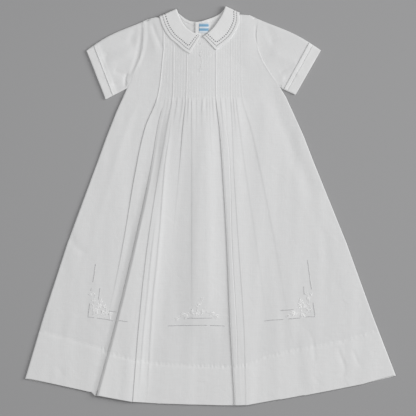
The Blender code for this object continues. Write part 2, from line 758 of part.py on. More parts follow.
def make_label():
    """Neck label: a small woven slip on the inside of the right back."""
    over_rows, under_rows = [], []
    for step in range(3):
        depth = mix(LABEL_TOP_DEPTH, LABEL_BOTTOM_DEPTH, step / 2)
        under = []
        for number in range(5):
            x = mix(LABEL_LEFT, LABEL_RIGHT, number / 4)
            rest = max(back_right_lift(x + dx, depth) for dx in (-1.5, 0.0, 1.5))
            under.append((number, x, depth, rest + CLOTH + SEAM_GAP))
        under_rows.append(under)
        over_rows.append([(n, x, d, z + LABEL_THICKNESS) for n, x, d, z in under])
    return wall("label", over_rows, under_rows, LABEL_WHITE)


def make_button(name, depth):
    """A flat shirt button with a raised rim, turned from its section."""
    profile = ((0.0, 0.35), (0.62, 0.35), (0.72, 0.0), (0.92, 0.0), (1.0, 0.4),
               (1.0, 1.1), (0.9, BUTTON_THICKNESS), (0.0, BUTTON_THICKNESS))
    sides = 20
    mesh = bmesh.new()
    rings = []
    for share, z in profile:
        if share == 0.0:
            rings.append([mesh.verts.new((0, 0, z * MM))])
            continue
        radius = BUTTON_RADIUS * share * MM
        rings.append([mesh.verts.new((radius * math.cos(2 * math.pi * i / sides),
                                      radius * math.sin(2 * math.pi * i / sides), z * MM))
                      for i in range(sides)])
    for first, second in zip(rings, rings[1:]):
        for i in range(sides):
            j = (i + 1) % sides
            corners = [first[i % len(first)], first[j % len(first)],
                       second[j % len(second)], second[i % len(second)]]
            mesh.faces.new(list(dict.fromkeys(corners)))
    part = finish_object(name, mesh, BUTTON_WHITE, 0.35)
    part.location = (PLACKET_X * MM, (LENGTH / 2 - depth) * MM, 0.0)
    return part


def main():
    for old in list(bpy.data.objects):
        bpy.data.objects.remove(old, do_unlink=True)
    make_front()
    make_backs()
    sleeve("sleeve_left", 0, -1, SLEEVE_LEFT_END)
    sleeve("sleeve_right", LAST_LINE, 1, SLEEVE_RIGHT_END)
    collar_half("collar_left", COLLAR_LEFT_FRONT, COLLAR_LEFT_BACK)
    collar_half("collar_right", COLLAR_RIGHT_FRONT, COLLAR_RIGHT_BACK)
    make_label()
    for number, depth in enumerate(BUTTON_DEPTHS, start=1):
        make_button(f"button_{number}", depth)


main()
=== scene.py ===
"""Looks of a newborn's christening gown that lies flat on its back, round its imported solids.

Sizes are in millimetres: x to the right of the gown as seen from the front, depth down from
the top of the shoulders, and z up from the surface it lies on.
"""

import json
import math

import bpy
import numpy as np
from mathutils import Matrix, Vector
from mathutils.bvhtree import BVHTree

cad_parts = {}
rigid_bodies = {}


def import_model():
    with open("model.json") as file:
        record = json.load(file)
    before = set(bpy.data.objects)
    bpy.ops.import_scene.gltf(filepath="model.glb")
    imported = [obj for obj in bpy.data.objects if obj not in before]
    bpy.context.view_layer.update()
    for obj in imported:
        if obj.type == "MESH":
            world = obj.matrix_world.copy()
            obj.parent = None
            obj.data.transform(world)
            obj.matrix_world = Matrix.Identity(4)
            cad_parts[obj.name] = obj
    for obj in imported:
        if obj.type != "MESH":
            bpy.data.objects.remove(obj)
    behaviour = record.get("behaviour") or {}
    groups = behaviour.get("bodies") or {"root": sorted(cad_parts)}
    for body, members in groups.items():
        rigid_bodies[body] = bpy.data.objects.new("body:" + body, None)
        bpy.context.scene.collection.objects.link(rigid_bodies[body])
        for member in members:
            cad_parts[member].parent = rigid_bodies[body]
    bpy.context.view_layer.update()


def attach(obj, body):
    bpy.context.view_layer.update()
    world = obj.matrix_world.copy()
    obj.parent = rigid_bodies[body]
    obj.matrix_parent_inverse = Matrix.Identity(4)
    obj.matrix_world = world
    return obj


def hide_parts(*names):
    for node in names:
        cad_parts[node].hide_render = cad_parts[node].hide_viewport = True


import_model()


# Front
# One panel of fine white cotton batiste, cut in one from the shoulders to the hem. Its pin
# tucks are stitched down over the chest and let go below it; one falls into a deep fold of
# three layers, and the hem is turned up and stitched by hand.
MM = 0.001
LENGTH = 615.2
CLOTH = 1.0
LAYER_GAP = 0.4
SEAM_GAP = 0.3
RELEASE_DEPTH = 140.0
PLACKET_X = -16.6
LAP_HALF_WIDTH = 7.2
FRONT_OVER_BUTTONS = (7.0, 84.0)
FRONT_OVER_LAP = (5.0, 60.0)
FRONT_LAP_RISE = 0.85
LAP_BACK_RAMP = 10.0
LAP_END_DEPTH = 455.0
LAP_FLAT_DEPTH = 510.0
BUTTON_THICKNESS = 1.5
BUTTON_CLEARANCE = 0.4
NECK_X = -15.0
COLLAR_LIFT_HALF_WIDTH = (66.0, 96.0)
COLLAR_LIFT_DEPTH = (56.0, 108.0)
PLACKET_LIFT_HALF_WIDTH = (8.0, 24.0)
PLACKET_LIFT_DEPTH = (230.0, 330.0)

# Outline of the body, armholes included: depth, x
LEFT_EDGE = np.array((
    (23.6, -103.5), (37, -102.4), (52.4, -103.2), (67.8, -105.5), (83.2, -110.1), (98.6, -117),
    (114, -122.6), (127, -129), (140, -134.8), (163.2, -145.3), (200, -159.8), (237, -173.2),
    (366.5, -221), (477.4, -257), (574.4, -285.8),
))
RIGHT_EDGE = np.array((
    (20, 72.7), (44.7, 70.8), (55.4, 71.6), (67.8, 74.7), (83.2, 80.9), (93.9, 87), (106.3, 94.7),
    (117, 102.4), (127, 108.4), (140, 116.3), (163.2, 127), (200, 143.6), (237, 157.8),
    (366.5, 210.2), (477.4, 250.2), (569.8, 285.8),
))

# Top edge from the left armhole over the neck to the right armhole: x, depth
LEFT_SHOULDER = ((-103.5, 23), (-93.2, 19), (-84, 17), (-77.5, 18), (-62.4, 11.6), (-53.1, 7.8))
RIGHT_SHOULDER = ((22.2, 3.2), (44.3, 12.8), (60.8, 14), (72.7, 19.4))
FRONT_NECKLINE = ((-50.1, 16.5), (-43.9, 30.8), (-33.1, 41.4), (-22.3, 47), (-13.9, 49.4),
                  (-0.8, 43.4), (9.2, 33), (16.2, 21.6), (20, 10))
FRONT_TOP = np.array(LEFT_SHOULDER + FRONT_NECKLINE + RIGHT_SHOULDER)

# Lines that run down the front, with x and height at these depths. The last values are the
# depth of the hem where the line meets it, and how far the hem is turned up there.
LINE_DEPTHS = np.array((68, 140, 188, 260, 376, 491, 607), float)
LINES = (
    ("left side", "edge", None, None, 574.4, 73),
    ("left underarm fold", "soft", (-92, -108.6, -128.6, -151.7, -186, -217, -250),
     (0, 0.2, 0.5, 0.35, 0.2, 0.2, 0.2), 582, 71),
    ("left tuck edge", "knife", (-72.4, -81.6, -100.7, -116.4, -136.2, -160.4, -188.7),
     (0, 0.7, 1.0, 1.0, 0.6, 0.05, 0), 594.4, 68),
    ("deep fold", "deep", (-65, -69, -78.0, -90.4, -115.8, -143.2, -174.2),
     (0, 0, 0, 0, 0, 0, 0), 600.5, 66),
    ("left tuck group", "knife", (-57, -58.5, -67, -80.1, -97.8, -110.1, -119.4),
     (0, 0.1, 0.3, 0.5, 0.65, 0.8, 0.85), 609.8, 64),
    ("left centre tuck", "knife", (-36.2, -37.7, -42.4, -48.5, -59.3, -68.5, -77.8),
     (0, 0.45, 0.85, 0.35, 0.03, 0, 0), 612.5, 61),
    ("placket fold", "knife", (-28.5, -28.5, -28.5, -28.5, -28.5, -28.5, -28.5),
     (0, 0.3, 0.32, 0.34, 0.32, 0.1, 0), 614, 60),
    ("right centre tuck", "knife", (-0.8, -0.8, 0, 3.9, 10, 14.6, 19.3),
     (0, 0.3, 0.15, 0.05, 0, 0, 0), 615.2, 60),
    ("right tuck group", "wide", (8.5, 8.5, 13.9, 19.3, 25.8, 30.4, 37),
     (0, 0.8, 1.2, 1.4, 1.5, 1.6, 1.7), 615.2, 60),
    ("right tuck crease", "knife", (31.6, 31.6, 33.9, 36.7, 43.9, 51.6, 54.7),
     (0, 0.4, 0.4, 0.4, 0.42, 0.4, 0.32), 614.8, 62),
    ("right tuck fold", "crease", (39.3, 39.9, 46, 56, 73.1, 88.6, 107),
     (0, 0.25, 0.34, 0.28, 0.2, 0.06, 0), 606, 68),
    ("right tuck edge", "crease", (47, 49.2, 63.1, 79.3, 102.4, 122.4, 145.5),
     (0, 0.3, 0.42, 0.36, 0.22, 0.05, 0), 599.8, 70),
    ("right underarm fold", "soft", (59, 79.3, 103, 128, 168.6, 204, 242.5),
     (0, 0.1, 0.15, 0.1, 0.1, 0.1, 0.1), 582.5, 68),
    ("right side", "edge", None, None, 569.8, 69),
)
LINE_KIND, LINE_X, LINE_HEIGHT, LINE_HEM, LINE_TURN_UP = range(1, 6)
LAST_LINE = len(LINES) - 1
DEEP_LINE = 3
TUCKS_AFTER_LINE = {2: 2, 3: 2, 4: 5, 5: 2, 6: 7, 7: 2, 8: 6, 9: 2, 10: 2, 11: 1}
EDGE_TUCK_HEIGHTS = {2: 0.55, 4: 0.42, 5: 0.35, 8: 0.42, 9: 0.22, 11: 0.12}
TUCK_HEIGHT = 0.065

# Section of a fold whose edge lies over to the left: distance from its line in mm, and
# share of its height. The first two are pin tucks, the third a pressed fold of the skirt.
# A soft fold has the same points at the last distances. Slopes are the cloth beside a fold.
RIB_SECTION = ((-0.9, 0), (-0.55, 0.2), (-0.25, 0.7), (0.05, 1), (0.45, 0.85), (0.85, 0.4))
TUCK_SECTION = ((-0.9, 0), (-0.05, 0.1), (-0.4, 0.55), (-0.28, 0.88), (0.12, 1), (0.8, 0.55))
FOLD_SECTION = ((-1.6, 0), (0.1, 0.14), (-0.5, 0.5), (-0.42, 0.85), (0.25, 1), (1.6, 0.8))
SOFT_DISTANCES = (-1.6, -0.9, -0.3, 0.3, 0.9, 1.6)
SLOPES = {
    "knife": ((-1.6, 0), (0, 1), (1.6, 0.92), (6, 0.66), (14, 0.3), (24, 0)),
    "wide": ((-1.6, 0), (0, 1), (1.6, 0.98), (10, 1.0), (13, 0.9), (30, 0.4), (50, 0)),
    "crease": ((-3.6, 0), (-2.2, 0.15), (-1, 0.6), (0, 1), (3, 0.85), (8, 0.5), (14, 0.2), (20, 0)),
    "soft": ((-12, 0), (-8, 0.16), (-4, 0.66), (0, 1), (4, 0.66), (8, 0.16), (12, 0)),
}
PRESSED = ("knife", "wide")
FULL_LEAN_HEIGHT = 2.0

# The deep fold: its height, the share of it that stands at the edge, how far the cloth rises
# towards it from the left, and the width of its hidden layers
DEEP_RISE = ((140, 0.1), (165, 0.9), (213, 2.8), (300, 4.0), (560, 4.0), (615, 3.4))
DEEP_EDGE_SHARE = ((150, 0.3), (225, 0.4), (310, 1))
DEEP_FACE_WIDTH = 13.0
DEEP_RAMP_SHARE = 0.72
DEEP_RAMP_WIDTH = 14.0
DEEP_WIDTH = ((140, 0.2), (213, 0.8), (240, 4.5), (376, 14), (491, 22), (615, 30))
DEEP_SHOULDER = 1.5
DEEP_SLOPE = 46.0
DEEP_UNDER = 0.4

EDGE_COLUMNS = (0, 0.25, 0.8, 1.7, 3.0, 4.6, 6.6)
EDGE_DROPS = (1.15, 0.5, 0.16, 0, 0, 0, 0)
SEAM_DROPS = (0.12, 0.05, 0, 0, 0, 0, 0)
SIDE_COLUMNS = {0: 9, 1: 13, 11: 38, 12: 20}
GAP_COLUMNS = {3: 9, 5: 8, 9: 8, 10: 6}
HEM_ROLL = 0.5

# Depths from which and to which the tucks and welts end, the cloth spreads into the skirt,
# and folds and waves begin
TUCKS_END = (140, 150)
WELT_ENDS = (78, 112)
NARROW_WELT_BEGINS = (40, 62)
NARROW_WELT_ENDS = (100, 128)
ARMHOLE_ENDS = (118, 130)
CLOTH_SPREADS = (139, 168)
DEEP_FOLD_SPREADS = (139, 178)
DEEP_EDGE_RISES = (139, 172)
DEEP_FOLD_RISES = (140, 175)
FOLDS_BEGIN = (138, 152)
WAVES_BEGIN = (130, 190)


def smooth(at, places, values):
    """Values on a smooth curve through a table of places and values."""
    places, values = np.asarray(places, float), np.asarray(values, float)
    low = np.maximum(np.arange(len(places)) - 1, 0)
    high = np.minimum(np.arange(len(places)) + 1, len(places) - 1)
    slopes = (values[high] - values[low]) / (places[high] - places[low])
    at = np.clip(at, places[0], places[-1])
    i = np.clip(np.searchsorted(places, at, side="right") - 1, 0, len(places) - 2)
    span = places[i + 1] - places[i]
    t = (at - places[i]) / span
    return ((2 * t**3 - 3 * t**2 + 1) * values[i] + (t**3 - 2 * t**2 + t) * span * slopes[i]
            + (3 * t**2 - 2 * t**3) * values[i + 1] + (t**3 - t**2) * span * slopes[i + 1])


def table(at, rows):
    """Values of a table of (place, value), with straight runs between its rows."""
    rows = np.asarray(rows, float)
    return np.interp(at, rows[:, 0], rows[:, 1])


def ease(value, full, none):
    """1 up to full, 0 from none on, and a soft curve between them."""
    t = np.clip((none - value) / (none - full), 0, 1)
    return t * t * (3 - 2 * t)


def grow(value, none, full):
    """0 up to none, 1 from full on, and a soft curve between them."""
    return ease(-value, -full, -none)


def mix(first, second, share):
    return first + (second - first) * share


def back_lift(x, depth):
    """How far the back lies above the surface, over the collar and over the buttons."""
    collar = (ease(np.abs(x - NECK_X), *COLLAR_LIFT_HALF_WIDTH) * ease(depth, *COLLAR_LIFT_DEPTH))
    buttons = (ease(np.abs(x - PLACKET_X), *PLACKET_LIFT_HALF_WIDTH)
               * ease(depth, *PLACKET_LIFT_DEPTH))
    return mix(collar * (CLOTH + LAYER_GAP), BUTTON_THICKNESS + BUTTON_CLEARANCE, buttons)


def lap_lift(x, depth):
    """How far the right back is raised by the left one along the placket."""
    left = PLACKET_X - LAP_HALF_WIDTH - SEAM_GAP
    right = PLACKET_X + LAP_HALF_WIDTH + SEAM_GAP
    across = table(x, ((left - 0.01, 0), (left, 1), (right, 1), (right + LAP_BACK_RAMP, 0)))
    down = table(depth, ((LAP_END_DEPTH, 1), (LAP_FLAT_DEPTH, 0)))
    return across * down * (CLOTH + LAYER_GAP)


def front_top(x, depth):
    """Height of the front's upper face where it has no folds: it is tented over the placket."""
    over_buttons = ease(np.abs(x - PLACKET_X), *FRONT_OVER_BUTTONS)
    over_buttons = over_buttons * ease(depth, *PLACKET_LIFT_DEPTH)
    over_buttons = over_buttons * (BUTTON_THICKNESS + BUTTON_CLEARANCE)
    over_lap = ease(np.abs(x - PLACKET_X), *FRONT_OVER_LAP)
    over_lap = over_lap * table(depth, ((LAP_END_DEPTH, 1), (LAP_FLAT_DEPTH, 0)))
    lift = np.maximum(back_lift(x, depth), over_buttons)
    return lift + over_lap * FRONT_LAP_RISE + 2 * CLOTH + LAYER_GAP


def line_x(index, depth):
    if index == 0:
        return table(depth, LEFT_EDGE)
    if index == LAST_LINE:
        return table(depth, RIGHT_EDGE)
    return smooth(depth, LINE_DEPTHS, LINES[index][LINE_X])


def line_height(index, depth):
    return np.maximum(smooth(depth, LINE_DEPTHS, LINES[index][LINE_HEIGHT]), 0)


def x_at(place, depth):
    """x of a place between two lines: 2.5 is halfway from line 2 to line 3."""
    index = min(int(place), LAST_LINE - 1)
    return mix(line_x(index, depth), line_x(index + 1, depth), place - index)


def line_value(place, column):
    index = min(int(place), LAST_LINE - 1)
    return mix(LINES[index][column], LINES[index + 1][column], place - index)


def x_between(anchors, depth):
    """x of a mix of two anchors, each a place and a distance from it."""
    first, first_off, second, second_off, share = anchors
    return mix(x_at(first, depth) + first_off, x_at(second, depth) + second_off, share)


def front_rows():
    """Rows of the front: stage, shift in mm, drop of the edge, and turn of the hem. Stage 0
    is the top edge, 1 the end of the tucks, 2 the line of hem stitches and 3 the hem."""
    rows = [(0, shift, drop, 0) for shift, drop in zip(EDGE_COLUMNS[:4], EDGE_DROPS)]
    rows += [(stage, 0, 0, 0) for stage in np.linspace(0.04, 0.985, 44)]
    rows += [(1, shift, 0, 0) for shift in (-0.8, 0, 1)]
    rows += [(1 + (i / 128) ** 1.12, 0, 0, 0) for i in range(1, 128)]
    rows += [(2, shift, 0, 0) for shift in (-1.4, -0.6, 0, 0.6, 1.4)]
    rows += [(2 + i / 20, 0, 0, 0) for i in range(1, 20)]
    rows += [(3, -1.4, 0, 0), (3, -0.35, 0, 0), (3, 0, 0, 0.5)]
    rows += [(3, -0.35, 0, 1), (3, -3, 0, 1), (3, -9, 0, 1)]
    return np.array(rows)


def front_columns():
    """Columns of the front: place, then where it lies on the chest and in the skirt, each
    as a mix of two anchors of (place, distance), and which fold it belongs to."""
    columns = []

    def add(place, chest, skirt, line=None, sample=0, tuck=0.0, share=0.0, drop=0.0):
        columns.append(dict(place=place, chest=chest, skirt=skirt, line=line, sample=sample,
                            tuck=tuck, share=share, drop=drop))

    def anchor(place, distance):
        return place, distance, place, distance, 0.0

    def side(line, start, end):
        for number in range(1, SIDE_COLUMNS[line] + 1):
            share = number / (SIDE_COLUMNS[line] + 1)
            both = (line, start, line + 1, end, share)
            add(line + share, both, both)

    for distance, drop in zip(EDGE_COLUMNS, EDGE_DROPS):
        add(0, anchor(0, distance), anchor(0, distance), drop=drop)
    side(0, EDGE_COLUMNS[-1], 0)
    add(1, anchor(1, 0), anchor(1, 0))
    side(1, 0, TUCK_SECTION[0][0])
    tucks = [(line, line + number / count, number == 0)
             for line, count in TUCKS_AFTER_LINE.items() for number in range(count)]
    for number, (line, place, first) in enumerate(tucks):
        height = EDGE_TUCK_HEIGHTS.get(line, TUCK_HEIGHT) if first else TUCK_HEIGHT
        tuck = TUCK_SECTION if height > 0.5 else RIB_SECTION
        if first and line == DEEP_LINE:
            samples = len(DEEP_SECTION)
            at = np.linspace(0, len(TUCK_SECTION) - 1, samples)
            own = np.array(RIB_SECTION, float)
            for sample in range(samples):
                distance, share = (np.interp(at[sample], range(len(own)), own[:, i])
                                   for i in (0, 1))
                add(place, anchor(place, distance), anchor(place, 0), line, sample, height, share)
        else:
            for sample, (distance, share) in enumerate(tuck):
                skirt = anchor(place, SOFT_DISTANCES[sample]) if first else None
                add(place, anchor(place, distance), skirt, line if first else None, sample,
                    height, share)
        if number < len(tucks) - 1:
            after = tucks[number + 1][1]
            gaps = GAP_COLUMNS.get(line, 2)
            for gap in range(gaps):
                chest = (place, 1.6, after, TUCK_SECTION[0][0], gap / gaps)
                add(mix(place, after, (gap + 1) / (gaps + 1)), chest, None)
    side(11, 1.6, 0)
    add(12, anchor(12, 0), anchor(12, 0))
    side(12, 0, -EDGE_COLUMNS[-1])
    for distance, drop in reversed(list(zip(EDGE_COLUMNS, EDGE_DROPS))):
        add(LAST_LINE, anchor(LAST_LINE, -distance), anchor(LAST_LINE, -distance), drop=drop)

    number = 0
    while number < len(columns):
        if columns[number]["skirt"] is None:
            end = number
            while columns[end]["skirt"] is None:
                end += 1
            before, after = columns[number - 1], columns[end]
            count = end - number + 1
            start = DEEP_SECTION[-1][0] if before["line"] == DEEP_LINE else before["skirt"][1]
            stop = DEEP_SECTION[0][0] if after["line"] == DEEP_LINE else after["skirt"][1]
            for i in range(number, end):
                share = (i - number + 1) / count
                columns[i]["skirt"] = (before["place"], start, after["place"], stop, share)
                columns[i]["place"] = mix(before["place"], after["place"], share)
            number = end
        number += 1
    return columns


# Section of the deep fold's outer face: distance in mm, share of the hidden width, height
# in mm that stays, and share of the fold's rise
DEEP_SECTION = (
    [(-5.6, 0, 0, 0), (-4.0, 0, 0, 0), (-0.6, 0, 0, 0), (0, 0.5, 0, 0), (0, 1, 0, 0),
     (0.14, 1, 0.06, 0), (0.2, 1, 0.2, 0), (0.14, 1, 0.34, 0), (0, 1, DEEP_UNDER, 0),
     (0, 0.5, DEEP_UNDER, 0), (0, 0.1, DEEP_UNDER, 0)]
    + [(-4.2, 0, 0.12, 0), (-3.5, 0, 0.1, 0.12), (-2.7, 0, 0.06, 0.28), (-1.9, 0, 0, 0.47),
       (-1.1, 0, 0, 0.69), (-0.4, 0, 0, 0.88), (0.3, 0, 0, 0.98), (1.5, 0, 0, 1.0)]
)

# Small creases of the front, as ridges or troughs: width of the left and right flank,
# height, and the points they run through as x, depth
RIGHT_GROUP_RUN = ((20, 165), (28.5, 221.8), (33.1, 375.8), (37.7, 452.8), (40.8, 514.4),
                   (41.5, 585))
CREASES = (
    ("shoulder drag", 2.6, 3.4, -0.65, ((-91, 24), (-86.2, 38.5), (-80.9, 51.6), (-74, 66))),
    ("shoulder drag crest", 3.5, 4.5, 0.3, ((-97, 28), (-93, 42), (-88, 56), (-82, 72))),
    ("third line of the left group", 0.7, 4.0, 0.65,
     ((-59, 165), (-64, 205), (-70, 246), (-78, 345), (-83, 400), (-88.5, 452.8),
      (-94.7, 548.2), (-97.8, 612))),
    ("second line of the left group", 0.7, 3.5, 0.55,
     ((-84, 326), (-90.1, 376), (-97.8, 452.8), (-104.0, 514.4), (-110.1, 590))),
    ("fine line on the right group", 0.6, 0.6, -0.32, RIGHT_GROUP_RUN),
    ("slope of the right group", 8.0, 15.0, 0.25, RIGHT_GROUP_RUN),
    ("bright slope right of centre", 32.0, 14.0, 2.1,
     ((-8, 130), (-8.5, 188), (-8, 260), (-7, 376), (-5, 520))),
    ("short centre pleat", 1.2, 2.5, 0.3, ((-10.0, 139), (-13.1, 164))),
    ("hollow under the right arm", 14.0, 11.0, -1.1,
     ((88, 112), (104, 160), (120, 206), (140, 250), (166, 300))),
    ("hem wrinkle by the right motif", 4.0, 1.2, -0.45,
     ((158, 508), (160.9, 529.8), (161.7, 539), (160.9, 549))),
    ("hooked hem wrinkle", 4.0, 1.2, -0.52,
     ((196.3, 524), (202.5, 542.1), (208.7, 557.5), (204.1, 566.7), (194.8, 569.8))),
    ("hem wrinkle near the right side", 4.0, 1.2, -0.42,
     ((219.5, 527), (224.1, 540.5), (230.2, 553))),
    ("small crease by the left hem", 1.6, 2.6, -0.6, ((-236, 554), (-229, 571))),
    ("hollow beside the right armhole", 0.9, 1.3, -0.5,
     ((69.6, 27), (69.3, 44.7), (70.2, 57), (73.2, 70))),
    ("hollow at the left pit", 1.6, 2.4, -0.6, ((-121, 96), (-124.5, 108), (-127, 122))),
    ("low hem wrinkle", 1.5, 2.0, -0.35, ((158, 571), (168.6, 582.1))),
    ("pucker under the left motif", 1.5, 2.5, -0.4, ((-183, 487), (-180, 503))),
    ("pucker beside it", 1.5, 2.5, -0.35, ((-176, 489), (-172, 507))),
    ("pull beside the left corner", 2.0, 3.0, -0.35, ((-190, 452), (-193, 470))),
    ("kink of the left side", 4.0, 7.0, -0.6, ((-221, 352), (-206, 372), (-192, 384))),
    ("long soft trough right of centre", 7.0, 10.0, -0.3,
     ((88, 330), (101, 400), (110, 470), (118, 540), (124, 590))),
    ("soft ridge below the right motif", 8.0, 10.0, 0.45,
     ((136, 490), (146, 545), (152, 590))),
    ("soft ridge inside the right side", 9.0, 12.0, 0.3,
     ((140, 210), (168, 300), (196, 390), (220, 480))),
    ("soft ridge inside the left side", 9.0, 12.0, 0.15,
     ((-150, 190), (-172, 260), (-200, 350), (-226, 440))),
)
WAVES = (
    (47, 620, 0.3, 0.10), (31, 540, 1.7, 0.07), (73, 480, 4.1, 0.14), (19, 390, 2.9, 0.035),
    (23, -510, 5.2, 0.04), (58, -700, 0.9, 0.09),
)
WELT_WIDTH = 7.0
WELT_HEIGHT = 0.55
NARROW_WELT_HEIGHT = 0.35
HEM_LIFT = 0.25
HEM_STITCH_DEPTH = 0.12
DEEP_FULL_LAYERS = 2.4


def crease(x, depth, left, right, height, points):
    """A ridge or trough along a line, which dies out at both ends."""
    best = np.full(x.shape, 1e9)
    found = np.zeros(x.shape)
    points = np.array(points, float)
    places = np.concatenate(([0], np.cumsum(np.hypot(*np.diff(points, axis=0).T))))
    at = np.linspace(0, places[-1], 4 * len(points) - 3)
    points = np.stack([smooth(at, places, points[:, k]) for k in (0, 1)], axis=1)
    steps = np.hypot(*np.diff(points, axis=0).T)
    total = steps.sum()
    passed = 0.0
    for start, end, step in zip(points, points[1:], steps):
        run = (end - start) / step
        along = np.clip((x - start[0]) * run[0] + (depth - start[1]) * run[1], 0, step)
        off_x = x - start[0] - run[0] * along
        off_depth = depth - start[1] - run[1] * along
        distance = np.hypot(off_x, off_depth)
        side = off_x * run[1] - off_depth * run[0]
        shape = np.exp(-(distance / np.where(side > 0, right, left)) ** 2)
        taper = np.clip(np.minimum(passed + along, total - passed - along) / (0.25 * total), 0, 1)
        nearer = distance < best
        best = np.where(nearer, distance, best)
        found = np.where(nearer, shape * taper * (2 - taper), found)
        passed += step
    return found * height


def soft_relief(x, depth):
    """Soft waves and small creases of the cloth of the front."""
    total = np.zeros(x.shape)
    for across, down, phase, height in WAVES:
        total += height * np.sin(2 * math.pi * (x / across + depth / down) + phase)
    total *= grow(depth, *WAVES_BEGIN)
    for _, left, right, height, points in CREASES:
        total += crease(x, depth, left, right, height, points)
    return total


def fold_slopes(x, depth, own_line=None):
    """Height of the pressed and soft folds of the skirt, one line's own left out."""
    total = np.zeros(x.shape)
    for index, line in enumerate(LINES):
        if line[LINE_KIND] in SLOPES and index != own_line:
            slope = table(x - line_x(index, depth), SLOPES[line[LINE_KIND]])
            total += line_height(index, depth) * slope
    deep_x = line_x(DEEP_LINE, depth)
    top = deep_x + table(depth, DEEP_WIDTH) + DEEP_SHOULDER
    at_edge = table(depth, DEEP_EDGE_SHARE)
    face = 1 - ease(x, deep_x + DEEP_SHOULDER, deep_x + DEEP_SHOULDER + DEEP_FACE_WIDTH)
    step = mix(at_edge, 1, face) * ease(x, top, top + DEEP_SLOPE)
    ramp = at_edge * DEEP_RAMP_SHARE * np.clip(1 + (x - deep_x) / DEEP_RAMP_WIDTH, 0, 1) ** 2
    if own_line != DEEP_LINE:
        step = np.where(x > deep_x, step, ramp)
        total += step * table(depth, DEEP_RISE) * grow(depth, *DEEP_FOLD_RISES)
    return total * grow(depth, *FOLDS_BEGIN)


PLEAT_LENGTH = (35, 115)
PLEAT_HEIGHT = {"strong": (0.2, 0.55), "weak": (0.0, 0.14)}
PLEAT_FLANKS = (0.9, 2.8)
PLEAT_SPREAD = 0.018
RELEASED_LIFT = 0.45


def released_pleats(x, depth, random):
    """Soft pleats below the end of each tuck, uneven in length and height."""
    total = np.zeros(x.shape)
    near = (depth > 138) & (depth < 280)
    for line, count in TUCKS_AFTER_LINE.items():
        for number in range(count):
            kind = "weak" if (number + line) % 2 else "strong"
            height = random.uniform(*PLEAT_HEIGHT[kind])
            length = random.uniform(*PLEAT_LENGTH)
            off = x[near] - x_at(line + number / count, depth[near])
            spread = 1 + PLEAT_SPREAD * (depth[near] - 140)
            shape = np.exp(-(off / (np.where(off < 0, *PLEAT_FLANKS) * spread)) ** 2)
            grown = grow(depth[near], 139, 147) * ease(depth[near], 147, 147 + length)
            total[near] += height * shape * grown
    in_tucks = ease(np.abs(x + 17), 60, 74)
    return total + RELEASED_LIFT * in_tucks * grow(depth, 140, 149) * ease(depth, 150, 205)


# Each half of the collar has stations on the front, then on the back, with the inner and
# the outer edge as x, depth
COLLAR_LEFT = (
    ((-14.4, 45.4, -31.6, 73.9), (-20.5, 43.2, -40.5, 68.5), (-28.5, 39.3, -51.5, 58.8),
     (-36.5, 33.5, -62.4, 49.3), (-42.5, 26, -71, 37), (-47, 17.5, -75.6, 27),
     (-51.4, 6.4, -78.2, 17.9)),
    ((-49.4, 10.6, -77.6, 24.5), (-45.4, 14.8, -75, 33), (-38.5, 20.4, -67, 43.1),
     (-30, 24.4, -51.6, 50.8), (-17.3, 25.4, -18.2, 54.4)),
)
COLLAR_RIGHT = (
    ((-12.2, 46.4, 8.5, 68.5), (-6, 42.2, 16, 62.6), (0.8, 36.4, 25, 55.6), (7.2, 29, 33.1, 47.7),
     (13.4, 20, 40, 36.5), (18.2, 11.6, 44.2, 24.5), (22, 2.5, 44.3, 12.5)),
    ((20.2, 7.2, 44.9, 19.5), (16.2, 11.4, 43.1, 29.3), (9.2, 16.6, 34.6, 41.6),
     (-2.3, 20.6, 19.2, 50.4), (-15.7, 24.6, -15.2, 54.4)),
)
COLLAR_EDGE_LEFT = [station[2:] for station in reversed(COLLAR_LEFT[0])] + [COLLAR_LEFT[0][0][:2]]
COLLAR_EDGE_RIGHT = [COLLAR_RIGHT[0][0][:2]] + [station[2:] for station in COLLAR_RIGHT[0]]


def collar_cover(x, depth):
    """0 under the collar and 1 clear of it."""
    clear = np.ones(x.shape)
    for edge in (COLLAR_EDGE_LEFT, COLLAR_EDGE_RIGHT):
        inside = (x > edge[0][0]) & (x < edge[-1][0])
        clear = np.where(inside, clear * grow(depth - table(x, edge), 0.6, 3.2), clear)
    return clear


def is_pressed(line):
    return line is not None and LINES[line][LINE_KIND] in PRESSED


def front_plan(rows, columns):
    """x and depth of each point of the front."""
    x, depth = np.zeros((2, len(rows), len(columns)))
    for number, column in enumerate(columns):
        place, line, sample = column["place"], column["line"], column["sample"]
        hem = line_value(place, LINE_HEM)
        stages = ((0, table(x_at(place, 0.0), FRONT_TOP)), (1, RELEASE_DEPTH),
                  (2, hem - line_value(place, LINE_TURN_UP)), (3, hem))
        down = table(rows[:, 0], stages) + rows[:, 1]
        skirt_x = x_between(column["skirt"], down)
        if line == DEEP_LINE:
            distance, hidden, _, _ = DEEP_SECTION[sample]
            opened = mix(0.6, 1, 1 - ease(down, *DEEP_FOLD_SPREADS))
            skirt_x = skirt_x + distance * opened + hidden * table(down, DEEP_WIDTH)
        if is_pressed(line):
            lean = FOLD_SECTION[sample][0] - SOFT_DISTANCES[sample]
            skirt_x = skirt_x + lean * np.clip(line_height(line, down) / FULL_LEAN_HEIGHT, 0, 1)
        spread = 1 - ease(down, *CLOTH_SPREADS)
        x[:, number] = mix(x_between(column["chest"], down), skirt_x, spread)
        depth[:, number] = down
    return x, depth


